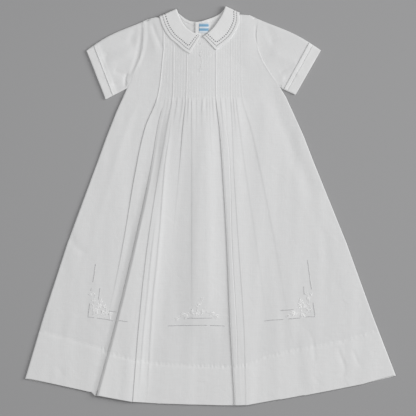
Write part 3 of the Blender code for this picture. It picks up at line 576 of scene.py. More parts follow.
def column_rise(column, x, depth):
    """Height that the tucks and folds add to one column of the front."""
    line, sample = column["line"], column["sample"]
    if is_pressed(line):
        own = line_height(line, depth) * FOLD_SECTION[sample][1] * grow(depth, *FOLDS_BEGIN)
        return own, fold_slopes(x, depth, line)
    if line != DEEP_LINE:
        return 0, fold_slopes(x, depth)
    _, _, kept, rise = DEEP_SECTION[sample]
    line_here = line_x(DEEP_LINE, depth)
    edge_rise = table(depth, DEEP_RISE) * table(depth, DEEP_EDGE_SHARE)
    from_line = np.minimum(x - line_here, 0)
    ramp = np.clip(1 + from_line / DEEP_RAMP_WIDTH, 0, 1) ** 2 * DEEP_RAMP_SHARE
    ramp = ramp * edge_rise
    kept = kept * np.clip(edge_rise / DEEP_FULL_LAYERS, 0.1, 1) ** 2
    own = grow(depth, *DEEP_EDGE_RISES) * (ramp + kept + rise * (edge_rise - ramp - kept))
    return own, fold_slopes(line_here, depth, line)


def armhole_welts(x, depth):
    """Share of the wide welt on the left armhole and of the narrow one on the right."""
    from_left = x - table(depth, LEFT_EDGE)
    from_right = table(depth, RIGHT_EDGE) - x
    wide = ease(np.abs(from_left - 0.8), 0.8, WELT_WIDTH - 1) * ease(depth, *WELT_ENDS)
    narrow = ease(np.abs(from_right - 1.4), 0.4, 1.7) * ease(depth, *NARROW_WELT_ENDS)
    return wide, narrow * grow(depth, *NARROW_WELT_BEGINS)


def front_points():
    """x, depth, z and share of doubled cloth of each point of the front."""
    rows, columns = front_rows(), front_columns()
    x, depth = front_plan(rows, columns)
    z, doubled = front_top(x, depth), np.zeros(x.shape)
    for number, column in enumerate(columns):
        own_x, down = x[:, number], depth[:, number]
        tuck = column["tuck"] * column["share"] * collar_cover(own_x, down)
        z[:, number] += tuck * ease(down, *TUCKS_END)
        for rise in column_rise(column, own_x, down):
            z[:, number] += rise
        doubled[:, number] = 0.5 * column["share"] * ease(down, *TUCKS_END)
    random = np.random.default_rng(11)
    z += soft_relief(x, depth) * collar_cover(x, depth) + released_pleats(x, depth, random)
    welt, narrow_welt = armhole_welts(x, depth)
    z += WELT_HEIGHT * welt
    z += NARROW_WELT_HEIGHT * narrow_welt
    stage = rows[:, 0][:, None]
    z += HEM_LIFT * (stage > 2) - HEM_STITCH_DEPTH * (stage == 2)
    z += 0.2 * np.sin(x * 0.9 + 2 * np.sin(x / 9)) * np.sin(x / 5.3 + 1) * (stage == 2)
    doubled += 0.35 * (stage >= 2) + 0.7 * welt + 0.5 * narrow_welt
    fold_end = line_x(DEEP_LINE, depth) + table(depth, DEEP_WIDTH)
    in_fold = (x > line_x(DEEP_LINE, depth)) & (depth > 213)
    doubled += 0.35 * in_fold * ease(x, fold_end, fold_end + 4)
    at_side = np.array([column["drop"] for column in columns])[None, :]
    at_seam = np.interp(at_side, EDGE_DROPS[3::-1], SEAM_DROPS[3::-1])
    z -= np.maximum(rows[:, 2][:, None], mix(at_side, at_seam, ease(depth, *ARMHOLE_ENDS)))
    for number, turn in enumerate(rows[:, 3]):
        if turn:
            source = len(rows) - 5 if turn < 1 or rows[number][1] == -0.35 else number
            run_x, run_z = np.gradient(x[source]), np.gradient(z[source])
            size = np.maximum(np.hypot(run_x, run_z), 1e-6)
            x[number] += run_z / size * HEM_ROLL * turn
            z[number] -= run_x / size * HEM_ROLL * turn
    return x, depth, z, np.clip(doubled, 0, 1)


def to_metres(x, depth, z):
    return np.stack((x, LENGTH / 2 - depth, z), axis=-1).reshape(-1, 3) * MM


def grid_faces(rows, columns, around=False):
    """Corners of the faces of a grid whose points run row by row."""
    across = columns if around else columns - 1
    row, column = np.meshgrid(np.arange(rows - 1), np.arange(across), indexing="ij")
    after = (column + 1) % columns
    corners = (row * columns + column, (row + 1) * columns + column,
               (row + 1) * columns + after, row * columns + after)
    return [tuple(face) for face in np.stack(corners, axis=-1).reshape(-1, 4).tolist()]


def placed(name, data):
    """A new object in the scene."""
    made = bpy.data.objects.new(name, data)
    bpy.context.scene.collection.objects.link(made)
    return made


def cloth_piece(name, points, faces, material, values):
    """A smooth mesh object from points in metres, with values given to its points."""
    mesh = bpy.data.meshes.new(name)
    mesh.from_pydata(points.tolist(), [], faces)
    for key, numbers in values.items():
        attribute = mesh.attributes.new(key, "FLOAT", "POINT")
        attribute.data.foreach_set("value", np.asarray(numbers, np.float32).ravel())
    mesh.shade_smooth()
    mesh.materials.append(material)
    piece = placed(name, mesh)
    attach(piece, "root")
    return piece


def link(tree, source, target):
    tree.links.new(source, target)


def new_node(tree, kind, inputs=None, **settings):
    """A shader node; each of its inputs is a value, or a socket to link from."""
    node = tree.nodes.new("ShaderNode" + kind)
    for key, value in settings.items():
        setattr(node, key, value)
    for key, value in (inputs or {}).items():
        if isinstance(value, bpy.types.NodeSocket):
            link(tree, value, node.inputs[key])
        else:
            node.inputs[key].default_value = value
    return node


def math_node(tree, operation, *values, clamp=False):
    """The result of a Math node on numbers or sockets."""
    inputs = dict(enumerate(values))
    return new_node(tree, "Math", inputs, operation=operation, use_clamp=clamp).outputs[0]


def mixed_colour(tree, share, first, second):
    inputs = {"A": first, "B": second, "Factor": share}
    return new_node(tree, "Mix", inputs, data_type="RGBA").outputs["Result"]


def point_value(tree, name):
    """The value that a mesh gives to its points under a name."""
    return new_node(tree, "Attribute", attribute_name=name).outputs["Fac"]


def new_material(name, inputs):
    """A material, its node tree and its shader, whose plain inputs are given."""
    material = bpy.data.materials.new(name)
    material.use_nodes = True
    shader = material.node_tree.nodes["Principled BSDF"]
    for key, value in inputs.items():
        shader.inputs[key].default_value = value
    return material, material.node_tree, shader


def new_group(name, inputs, output):
    """A shader node group with an output that is a number. An input without a value is a
    vector, and the others are numbers."""
    group = bpy.data.node_groups.new(name, "ShaderNodeTree")
    for label, value in inputs.items():
        kind = "NodeSocketVector" if value is None else "NodeSocketFloat"
        socket = group.interface.new_socket(label, in_out="INPUT", socket_type=kind)
        if value is not None:
            socket.default_value = value
    group.interface.new_socket(output, in_out="OUTPUT", socket_type="NodeSocketFloat")
    start, end = group.nodes.new("NodeGroupInput"), group.nodes.new("NodeGroupOutput")
    return group, start.outputs, end.inputs[output]


def plain_weave_group():
    """Plain weave: one thread over and one under. Height of the threads, 0 to 1."""
    group, given, height = new_group("plain weave", {"Position": None, "Pitch": 0.0004}, "Height")
    axes = new_node(group, "SeparateXYZ", {0: given["Position"]})
    waves = []
    for axis in ("X", "Y"):
        turns = math_node(group, "DIVIDE", axes.outputs[axis], given["Pitch"])
        waves.append(math_node(group, "SINE", math_node(group, "MULTIPLY", turns, math.pi)))
    crossing = math_node(group, "MULTIPLY", *waves)
    link(group, math_node(group, "MULTIPLY_ADD", crossing, 0.5, 0.5), height)
    return group


def slub_group():
    """Slubs: threads that are a little thicker for a stretch, along both directions of the
    weave. Puts out how dense the cloth is, about 0 to 1."""
    group, given, density = new_group(
        "slubs", {"Position": None, "Length": 0.03, "Width": 0.0011}, "Density")
    axes = new_node(group, "SeparateXYZ", {0: given["Position"]})
    found = []
    for along, across in (("X", "Y"), ("Y", "X")):
        place = new_node(group, "CombineXYZ", {
            "X": math_node(group, "DIVIDE", axes.outputs[along], given["Length"]),
            "Y": math_node(group, "DIVIDE", axes.outputs[across], given["Width"])})
        noise = {"Scale": 1.0, "Detail": 2.0, "Vector": place.outputs[0]}
        found.append(new_node(group, "TexNoise", noise).outputs["Fac"])
    both = math_node(group, "ADD", *found)
    link(group, math_node(group, "MULTIPLY", both, 0.5), density)
    return group


def crumple_group():
    """Faint crumples that pressing leaves in thin cotton. Height, about 0 to 1."""
    group, given, height = new_group("faint crumples", {"Position": None, "Size": 0.02}, "Height")
    place = new_node(group, "VectorMath", {0: given["Position"], 1: given["Size"]},
                     operation="DIVIDE")
    noise = {"Scale": 1.0, "Detail": 4.0, "Roughness": 0.55, "Distortion": 0.6,
             "Vector": place.outputs[0]}
    link(group, new_node(group, "TexNoise", noise).outputs["Fac"], height)
    return group


PLAIN_WEAVE = plain_weave_group()
SLUBS = slub_group()
CRUMPLES = crumple_group()
SINGLE_WHITE = (0.795, 0.797, 0.80, 1)
DOUBLE_WHITE = (0.87, 0.872, 0.872, 1)
CRUMPLE_HEIGHT = 0.0005
SLUB_HEIGHT = 0.00006
THREAD_HEIGHT = 0.00003


def batiste(name, turned=0.0):
    """White cotton batiste, whiter where it is doubled, with its threads turned by an angle."""
    material, tree, shader = new_material(name, {
        "Sheen Weight": 0.12, "Sheen Roughness": 0.45, "Specular IOR Level": 0.3})
    place = new_node(tree, "TexCoord").outputs["Object"]
    turn = new_node(tree, "Mapping", {"Rotation": (0, 0, turned), "Vector": place})
    weave, slubs, crumples = (
        new_node(tree, "Group", {"Position": turn.outputs[0]}, node_tree=source).outputs[0]
        for source in (PLAIN_WEAVE, SLUBS, CRUMPLES))
    colour = mixed_colour(tree, point_value(tree, "doubled"), SINGLE_WHITE, DOUBLE_WHITE)
    lightness = new_node(tree, "MapRange", {
        "From Min": 0.3, "From Max": 0.7, "To Min": 0.965, "To Max": 1.02, "Value": slubs})
    shaded = new_node(tree, "VectorMath", {0: colour, "Scale": lightness.outputs[0]},
                      operation="SCALE")
    link(tree, shaded.outputs[0], shader.inputs["Base Color"])
    rough = new_node(tree, "MapRange", {"To Min": 0.72, "To Max": 0.9, "Value": slubs})
    link(tree, rough.outputs[0], shader.inputs["Roughness"])
    bump = {"Strength": 1.0}
    for height, most in ((crumples, CRUMPLE_HEIGHT), (slubs, SLUB_HEIGHT), (weave, THREAD_HEIGHT)):
        bump.update({"Distance": most, "Height": height})
        bump["Normal"] = new_node(tree, "Bump", bump).outputs[0]
    link(tree, bump["Normal"], shader.inputs["Normal"])
    return material


BODY_CLOTH = batiste("batiste_body")
x, depth, z, doubled = front_points()
front = cloth_piece("front_cloth", to_metres(x, depth, z), grid_faces(*x.shape), BODY_CLOTH,
                    {"doubled": doubled})
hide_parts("front")


# Backs
# Two halves of the same batiste under the front. The right one laps over the left one along
# a buttoned placket, and the neck edge has a narrow facing stitched inside.
BACK_NECKLINE = ((-47, 13), (-39.3, 19.3), (-31.6, 23), (-22.3, 24.6), (-14.6, 23.6),
                 (-5.4, 20.5), (3.9, 17.2), (11.6, 13.7), (17.7, 9))
BACK_TOP = np.array(LEFT_SHOULDER + BACK_NECKLINE + RIGHT_SHOULDER)
BACK_NECK = (-53.1, 22.2)
BACK_HEM = [(line_x(index, line[LINE_HEM]), line[LINE_HEM]) for index, line in enumerate(LINES)]
LAP_CLOSING = ((425, 7.2), (447, -0.15))
PLACKET_STRIP = 6.8
PLACKET_RISE = 0.4
NECK_FACING = 4.9
FACING_RISE = 0.3
BACK_TURN_UP = 66
BACK_FACE = 0.9


def back_points(right_half):
    """x, depth, z and share of doubled cloth of one half of the back."""
    rows = [(0, shift) for shift in (0, 0.3, 0.9, 2, 3.4, 4.7, 5.0, 5.4, 7)]
    rows += [(share, 0) for share in np.linspace(0.02, 0.985, 80)]
    rows += [(1, shift) for shift in (-2, -1, -0.3, 0)]
    columns = [("side", offset) for offset in (0, 0.25, 0.8, 1.7, 3)]
    columns += [("share", share) for share in np.linspace(0.04, 0.9, 26)]
    columns += [("edge", offset) for offset in (9, PLACKET_STRIP + 0.4, PLACKET_STRIP, 6.4, 4, 2,
                                                0.8, 0.25, 0)]
    side_edge = RIGHT_EDGE if right_half else LEFT_EDGE
    inward = -1 if right_half else 1
    x, depth, from_edge = np.zeros((3, len(rows), len(columns)))
    for j, (kind, value) in enumerate(columns):
        for i, (share, shift) in enumerate(rows):
            down = 200.0 * share
            for _ in range(4):
                side_x = table(down, side_edge)
                edge_x = PLACKET_X + inward * table(down, LAP_CLOSING)
                across = {"side": side_x + inward * value, "edge": edge_x - inward * value,
                          "share": mix(side_x + inward * 3, edge_x - inward * 9, value)}[kind]
                down = mix(table(across, BACK_TOP), table(across, BACK_HEM), share) + shift
            x[i, j], depth[i, j] = across, down
            from_edge[i, j] = abs(across - edge_x)
    z = back_lift(x, depth) + (lap_lift(x, depth) if right_half else 0) + BACK_FACE
    strip = (from_edge < PLACKET_STRIP + 0.2) & (depth < LAP_END_DEPTH)
    in_neck = (x > BACK_NECK[0]) & (x < BACK_NECK[1])
    facing = in_neck & (depth - table(x, BACK_TOP) < NECK_FACING)
    z += PLACKET_RISE * strip + FACING_RISE * facing
    for j, drop in ((0, -0.25), (-1, 0.6), (-2, 0.25)):
        z[:, j] -= drop
    z[0] -= np.where(in_neck[0], 0.7, -0.2)
    z[1] -= np.where(in_neck[0], 0.25, 0)
    z[-1] = np.maximum(z[-1] - 0.8, 0.06)
    z[-2] -= 0.25
    in_hem = table(x, BACK_HEM) - depth < BACK_TURN_UP
    doubled = np.clip(0.8 * strip + 0.7 * facing + 0.9 * in_hem, 0, 1)
    if right_half:
        x, depth, z, doubled = (values[:, ::-1] for values in (x, depth, z, doubled))
    return x, depth, z, doubled


for side, area in (("left", 0.120), ("right", 0.130)):
    x, depth, z, doubled = back_points(side == "right")
    back = cloth_piece(f"back_{side}_cloth", to_metres(x, depth, z), grid_faces(*x.shape),
                       BODY_CLOTH, {"doubled": doubled})
    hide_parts(f"back_{side}")


# Sleeves
# Short straight sleeves, each one flat tube of batiste sewn into its armhole. The end is
# turned up inside, and a tuck runs round above it: it lies towards the end on the left
# sleeve and away from it on the right one.
SLEEVE_HEM = 20.0
SLEEVE_HEIGHT = 2.4
SLEEVE_HEAD_BULGE = 4.8
SLEEVE_LAST_SHARE = 0.889
SLEEVE_EDGE_DROP = 1.12
SLEEVE_EDGE_WIDTH = 2.4
SLEEVE_RELIEF = 1.6
SLEEVE_UNDERSIDE = 0.06
SLEEVE_INSIDE = 0.75
SLEEVE_FLAT_END = ((10, 0.22), (7, 0.2), (4, 0.2), (2, 0.2), (0.9, 0.17), (0.3, 0.02), (0, -0.35))
SLEEVES = (
    ("left", 0, -1, ((-191.3, 68.5), (-161.5, 144.0)), 0.38,
     ((24, 0), (21.5, 0.05), (20.3, 0.2), (19.6, 0.38), (17, 0.42), (15, 0.55), (13.8, 0.85),
      (13.1, 1.0), (12.5, 0.85), (12.3, 0.5), (12.7, 0.28), (12.2, 0.22), (11.5, 0.22)),
     (("hollow beside the seam", 3.0, 3.5, -0.42,
       ((-107, 28), (-108, 52), (-112, 72), (-118, 92), (-127, 112))),
      ("small fold at the pit", 3.0, 1.4, -0.6, ((-127, 102), (-131, 112), (-130, 124))),
      ("fold from the pit", 3.0, 4.0, -0.7, ((-128, 118), (-142, 121), (-153, 120))),
      ("second fold from the pit", 3.0, 4.0, -0.45, ((-124, 108), (-136, 104), (-150, 98))),
      ("drag from the shoulder", 5.0, 7.0, -0.55, ((-114, 34), (-121, 46), (-124, 60))),
      ("soft ridge along it", 8.0, 8.0, 0.5, ((-118, 66), (-140, 80), (-165, 92))),
      ("soft hollow near the end", 5.0, 6.0, -0.35, ((-158, 70), (-164, 88), (-160, 106))))),
    ("right", LAST_LINE, 1, ((170.2, 68.2), (130.9, 137.1)), -0.42,
     ((24, 0), (21.5, 0), (20.3, 0.02), (19.8, 0.1), (20.3, 0.3), (20.2, 0.7), (19.6, 0.98),
      (18.8, 0.95), (17, 0.75), (15.2, 0.55), (14.6, 0.3), (14.1, 0.03), (13.8, 0.03),
      (13.65, 0.4), (13.2, 0.45), (11.5, 0.3)),
     (("fold from the pit", 3.0, 4.0, -0.6, ((112, 112), (122, 111), (134, 106))),
      ("second fold from the pit", 2.5, 4.0, -0.4, ((106, 102), (118, 96), (130, 90))),
      ("drag from the shoulder", 5.0, 7.0, -0.4, ((84, 30), (92, 44), (97, 60))),
      ("soft ridge along it", 8.0, 8.0, 0.45, ((92, 70), (112, 80), (134, 90))))),
)


def sleeve_points(line, outward, end, profile, creases):
    """x, depth, z and share of doubled cloth, ring by ring round the tube."""
    (upper_x, upper_depth), (lower_x, lower_depth) = end
    edge = RIGHT_EDGE if line else LEFT_EDGE
    seam_top = table(x_at(line, 0.0), FRONT_TOP)
    seam_low = mix(seam_top, RELEASE_DEPTH, SLEEVE_LAST_SHARE)
    near = np.array((0, 0.003, 0.008, 0.015, 0.025, 0.04))
    over = np.concatenate((near, np.linspace(0.07, 0.93, 34), 1 - near[::-1]))
    under = np.concatenate((1 - near[1:], np.linspace(0.9, 0.1, 14), near[:0:-1]))
    share = np.concatenate((over, under))
    upper_face = np.arange(len(share)) < len(over)
    seam_depth = mix(seam_top, seam_low, share)
    seam_x = table(seam_depth, edge) - outward * SEAM_GAP
    end_x, end_depth = mix(upper_x, lower_x, share), mix(upper_depth, lower_depth, share)
    length = np.hypot(end_x - seam_x, end_depth - seam_depth)
    width = math.hypot(upper_x - lower_x, upper_depth - lower_depth)
    from_fold = np.minimum(share, 1 - share) * width
    from_round = 1 - np.minimum(from_fold / SLEEVE_EDGE_WIDTH, 1)
    rounding = SLEEVE_EDGE_DROP * (1 - np.sqrt(1 - from_round ** 2))
    flat = np.minimum(from_fold / 3.0, 1)

    seam_rise = (WELT_HEIGHT if outward < 0 else 0.1) * ease(seam_depth, *WELT_ENDS)
    rings = [(distance / length, drop, 0, 0) for distance, drop in
             ((0, seam_rise - 0.12), (0.5, seam_rise), (1.3, seam_rise * 0.9),
              (2.6, seam_rise * 0.5))]
    last = 1 - 26 / length
    rings += [(mix(4 / length, last, step), 0, 0, 0) for step in np.linspace(0, 1, 30)]
    for from_end, height in profile + SLEEVE_FLAT_END:
        rings.append((1 - from_end / length, height, 0, 0.45 * (from_end <= SLEEVE_HEM)))
    for from_end in (0.05, 0.6, 3, 8, 14, SLEEVE_HEM):
        rings.append((1 - from_end / length, 0.1, SLEEVE_INSIDE, 0.9))
    x, depth, z, doubled = [], [], [], []
    for t, height, inside, double in rings:
        bulge = SLEEVE_HEAD_BULGE * np.sin(math.pi * np.clip(t, 0, 1) ** 1.35) * (1 - share)
        ring_x = mix(seam_x, end_x, t)
        ring_depth = mix(seam_depth, end_depth, t) - bulge
        relief = sum(crease(ring_x, ring_depth, *values[1:]) for values in creases)
        relief = SLEEVE_RELIEF * relief + 0.3 * np.sin(share * 9 + t * 5) * np.sin(t * 7 + share * 4)
        top = SLEEVE_HEIGHT - rounding + flat * (height + relief * (t < 0.99)) - inside
        low = SLEEVE_UNDERSIDE + rounding + inside * flat
        lift = back_lift(ring_x, ring_depth)
        x.append(ring_x)
        depth.append(ring_depth)
        z.append(lift + np.where(upper_face, top, low))
        doubled.append(np.full(len(share), double))
    return tuple(np.array(values) for values in (x, depth, z, doubled))


for side, line, outward, end, turned, profile, creases in SLEEVES:
    x, depth, z, doubled = sleeve_points(line, outward, end, profile, creases)
    sleeve = cloth_piece(f"sleeve_{side}_cloth", to_metres(x, depth, z),
                         grid_faces(*x.shape, around=True),
                         batiste(f"batiste_sleeve_{side}", turned), {"doubled": doubled})
    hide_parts(f"sleeve_{side}")


# Collar
# Two pointed halves of doubled batiste that lie on the front, turn over the shoulders and
# lie flat under the back. Two rows of drawn-thread hemstitch follow the front and outer
# edges.
HEMSTITCH_ROWS = (5.0, 9.5)
HEMSTITCH_PITCH = 3.6
HEMSTITCH_HALF_WIDTH = 0.85
COLLAR_THICKNESS = 1.0
COLLAR_CLEARANCE = 0.4
COLLAR_REACH = (-7.0, 0, 7.0)
HEMSTITCH_DEPTH = 0.28
COLLAR_BEND_STEPS = 12
COLLAR_BACK_ROWS = 22


def fine_steps(total, count):
    """Distances from an edge that are close together at the edge and at the hemstitch."""
    near = [0, 0.12, 0.4, 0.9, 1.6, 2.4, 3.2]
    for row in HEMSTITCH_ROWS:
        near += [row + offset for offset in (-1.1, -0.7, -0.45, -0.15, 0.15, 0.45, 0.7, 1.1)]
        near.append(row + 2.0)
    return np.array(near + list(np.linspace(near[-1], total, count + 1)[1:]))


def hemstitch_depth(from_edge):
    """How deep the cloth is drawn in along the rows of hemstitch."""
    return sum(np.exp(-((from_edge - row) / 0.5) ** 2) for row in HEMSTITCH_ROWS)


def collar_points(front, back):
    """x, depth, z of the collar half's outer face, and its values for the hemstitch."""
    front, back = np.array(front, float), np.array(back, float)
    middle = (front[:, :2] + front[:, 2:]) / 2
    passed = np.concatenate(([0], np.cumsum(np.hypot(*np.diff(middle, axis=0).T))))
    outer_run = np.hypot(*np.diff(front[:, 2:], axis=0).T)
    outer_passed = np.concatenate(([0], np.cumsum(outer_run)))
    steps = fine_steps(outer_passed[-1], 60)
    at = np.interp(steps, outer_passed, passed)
    rows = [np.array([smooth(place, passed, front[:, k]) for k in range(4)]) for place in at]
    kinds = [("front", step) for step in steps]
    bend = [math.pi * step / COLLAR_BEND_STEPS for step in range(1, COLLAR_BEND_STEPS)]
    rows += [front[-1]] * len(bend)
    kinds += [("bend", angle) for angle in bend]
    back_all = np.vstack((front[-1], back))
    rows += [np.array([np.interp(t, range(len(back_all)), back_all[:, k]) for k in range(4)])
             for t in np.linspace(0, len(back_all) - 1, COLLAR_BACK_ROWS)]
    kinds += [("back", 0)] * COLLAR_BACK_ROWS
    x, depth, z, along_row, from_edge = [], [], [], [], []
    for (kind, value), (inner_x, inner_depth, outer_x, outer_depth) in zip(kinds, rows):
        width = math.hypot(outer_x - inner_x, outer_depth - inner_depth)
        inner_end = np.array((1.8, 0.9, 0.35, 0))
        distance = np.concatenate(((1.5, 0.2), fine_steps(width - 3.0, 14), width - inner_end))
        drops = np.zeros(len(distance))
        drops[:6] = (1.3, 1.3, 0.85, 0.4, 0.13, 0.02)
        drops[-4:] = (0.05, 0.22, 0.6, 1.5)
        share = 1 - distance / width
        row_x, row_depth = mix(inner_x, outer_x, share), mix(inner_depth, outer_depth, share)
        near = [[front_top(row_x + dx + soft, row_depth + dy)
                 for dx in COLLAR_REACH for dy in COLLAR_REACH] for soft in range(-9, 10, 3)]
        highest = np.mean(np.max(near, axis=1), axis=0)
        top = highest + COLLAR_CLEARANCE + COLLAR_THICKNESS
        edge = distance.copy()
        if kind == "front":
            edge = np.minimum(distance, value)
            drop = np.maximum(drops, np.interp(value, (0, 0.12, 0.4, 0.9), (0.85, 0.4, 0.13, 0)))
            wave = 0.18 * np.sin(value * 0.13 + 1) * np.sin(share * 3.1)
            row_z = top - drop - HEMSTITCH_DEPTH * hemstitch_depth(edge) + wave
            along_value = np.where(distance < value, value, distance)
        elif kind == "bend":
            away = np.array((outer_depth - inner_depth, inner_x - outer_x)) / width
            away = -away if away[1] > 0 else away
            radius = (top - 0.5 * drops) / 2
            row_x = row_x + away[0] * radius * math.sin(value)
            row_depth = row_depth + away[1] * radius * math.sin(value)
            row_z = radius + radius * math.cos(value)
            along_value = np.full(len(distance), steps[-1] + value * 2.2)
        else:
            row_z = 0.05 + 0.8 * drops
            along_value = np.full(len(distance), steps[-1] + 8.0)
        for values, new in ((x, row_x), (depth, row_depth), (z, row_z),
                            (along_row, along_value), (from_edge, edge)):
            values.append(new)
    return tuple(np.array(values) for values in (x, depth, z, along_row, from_edge))


def hemstitch_group():
    """Rows of drawn-thread hemstitch: 1 in the open holes between the bundled threads."""
    group, given, holes = new_group("hemstitch", {
        "Along": 0.0, "From Edge": 0.0, "Pitch": HEMSTITCH_PITCH,
        "Half Width": HEMSTITCH_HALF_WIDTH}, "Holes")
    bands = []
    for row in HEMSTITCH_ROWS:
        off = math_node(group, "SUBTRACT", given["From Edge"], row)
        share = math_node(group, "DIVIDE", math_node(group, "ABSOLUTE", off), given["Half Width"])
        bands.append(math_node(group, "SUBTRACT", 1.4, share, clamp=True))
    turns = math_node(group, "DIVIDE", given["Along"], given["Pitch"])
    wave = math_node(group, "SINE", math_node(group, "MULTIPLY", turns, 2 * math.pi))
    dash = math_node(group, "MULTIPLY_ADD", wave, 2.0, 0.9, clamp=True)
    inner = math_node(group, "MULTIPLY", bands[1], dash)
    faint = math_node(group, "MULTIPLY_ADD", dash, 0.3, 0.3)
    outer = math_node(group, "MULTIPLY", bands[0], faint)
    link(group, math_node(group, "MAXIMUM", inner, outer), holes)
    return group


def with_hemstitch(material, hole_shade_colour):
    """Adds the holes of the hemstitch to a batiste, from its "along" and "from_edge". The holes are
    painted shade: a dark grey that stands for the shadow seen through them.
    """
    tree = material.node_tree
    base = tree.nodes["Principled BSDF"].inputs["Base Color"]
    holes = new_node(tree, "Group", {"Along": point_value(tree, "along"),
                                     "From Edge": point_value(tree, "from_edge")},
                     node_tree=HEMSTITCH).outputs["Holes"]
    link(tree, mixed_colour(tree, holes, base.links[0].from_socket, hole_shade_colour), base)
    return material


HEMSTITCH = hemstitch_group()
# Painted shade: the hemstitch holes are coloured this dark grey for the shadow seen through them.
HOLE_SHADE_GREY = (0.17, 0.17, 0.18, 1)
for side, stations, turned in (("left", COLLAR_LEFT, 0.7), ("right", COLLAR_RIGHT, -0.7)):
    x, depth, z, along_row, from_edge = collar_points(*stations)
    doubled = np.full(x.shape, 0.75)
    collar = cloth_piece(
        f"collar_{side}_cloth", to_metres(x, depth, z), grid_faces(*x.shape),
        with_hemstitch(batiste(f"batiste_collar_{side}", turned), HOLE_SHADE_GREY),
        {"doubled": doubled, "along": along_row, "from_edge": from_edge})
    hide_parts(f"collar_{side}")


# Label
# A small slip of white woven ribbon with plain blue bands and no words, sewn to the inside
# of the right back just below the neck.
LABEL_BOX = (-17.6, -3.0, 26.0, 41.8)
LABEL_THICKNESS = 0.6
LABEL_WHITE = (0.74, 0.80, 0.86, 1)
LABEL_BLUE = (0.20, 0.42, 0.62, 1)

# Bands of the label: depth and half width
LABEL_BANDS = ((30.0, 1.4), (36.6, 2.1))


def label_points():
    left, right, top, bottom = LABEL_BOX
    x_steps, depth_steps = np.linspace(left, right, 21), np.linspace(top, bottom, 13)
    x, depth = np.meshgrid(x_steps, depth_steps)
    lift = back_lift(x, depth) + lap_lift(x, depth)
    rest = lift + CLOTH + SEAM_GAP
    edge = np.minimum.reduce((x - left, right - x, depth - top, bottom - depth))
    over = rest + LABEL_THICKNESS - 0.25 * (edge < 0.05) + 0.05 * np.sin(x * 0.9)
    return x, depth, over, rest - 0.15


x, depth, over, under = label_points()
rows, columns = x.shape
faces = grid_faces(rows, columns)
rim = np.concatenate((np.arange(columns), np.arange(1, rows) * columns + columns - 1,
                      (rows - 1) * columns + np.arange(columns - 2, -1, -1),
                      np.arange(rows - 2, 0, -1) * columns))
count = rows * columns
walls = np.stack((rim, np.roll(rim, -1), np.roll(rim, -1) + count, rim + count), axis=1)
points = np.vstack((to_metres(x, depth, over), to_metres(x, depth, under)))
faces += [tuple(corner + count for corner in face[::-1]) for face in faces]
faces += [tuple(wall) for wall in walls.tolist()]
ribbon, tree, shader = new_material("woven_ribbon", {"Roughness": 0.5})
link(tree, mixed_colour(tree, point_value(tree, "band"), LABEL_WHITE, LABEL_BLUE),
     shader.inputs["Base Color"])
down = np.concatenate((depth.ravel(), depth.ravel()))
stripe = sum(np.abs(down - middle) < half for middle, half in LABEL_BANDS)
label = cloth_piece("label_slip", points, faces, ribbon, {"band": stripe})
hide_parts("label")


# Drawn-thread lines
# Frames of drawn threadwork round the embroidery of the skirt: threads are pulled out in a
# narrow band and the rest are tied in bundles, between two whipped edges. Under the bundles
# the open band is a grey strip of painted shade, for the shadow seen through it. All of it
# is x, depth.
DRAWN_LINES = (
    ((-177.1, 397.3), (-180.2, 418.9), (-181.4, 425)),
    ((-183.5, 434), (-184.3, 438.5)),
    ((-186, 458), (-188.7, 478.9)),
    ((-188.7, 478.9), (-179.4, 480)), ((-174.5, 480.6), (-159.4, 482.8), (-150.2, 485.1)),
    ((-140.9, 484.3), (-127.8, 485.9)),
    ((-170.2, 434.3), (-172.5, 452)),
    ((-156.3, 469.7), (-145.5, 471.2)),
    ((-65.5, 492.8), (-53.1, 492), (-5.4, 491.6)), ((-0.5, 491.9), (8, 492.2), (22.4, 492.8)),
    ((-40.8, 480.5), (-22.3, 480.9), (2.3, 480.5)),
    ((149.4, 391.2), (153.2, 422), (155.6, 436.6)),
    ((157.9, 456.7), (161, 478.2)),
    ((143.5, 432), (144.3, 445)),
    ((83.2, 485.1), (94.7, 483.7), (111.7, 482.8)),
    ((120.1, 482), (129.5, 481.3), (138.6, 480.5)), ((146.3, 479), (161.7, 478.2)),
    ((107.8, 469), (117.8, 468.3), (127.8, 467.4)),
)
DRAWN_PITCH = 1.3
DRAWN_HALF_WIDTH = 0.5
RAIL_RADIUS = 0.15
BAR_RADIUS = 0.17


def distances(points):
    """How far each point of a line is from its start, along the line."""
    return np.concatenate(([0], np.cumsum(np.linalg.norm(np.diff(points, axis=0), axis=1))))


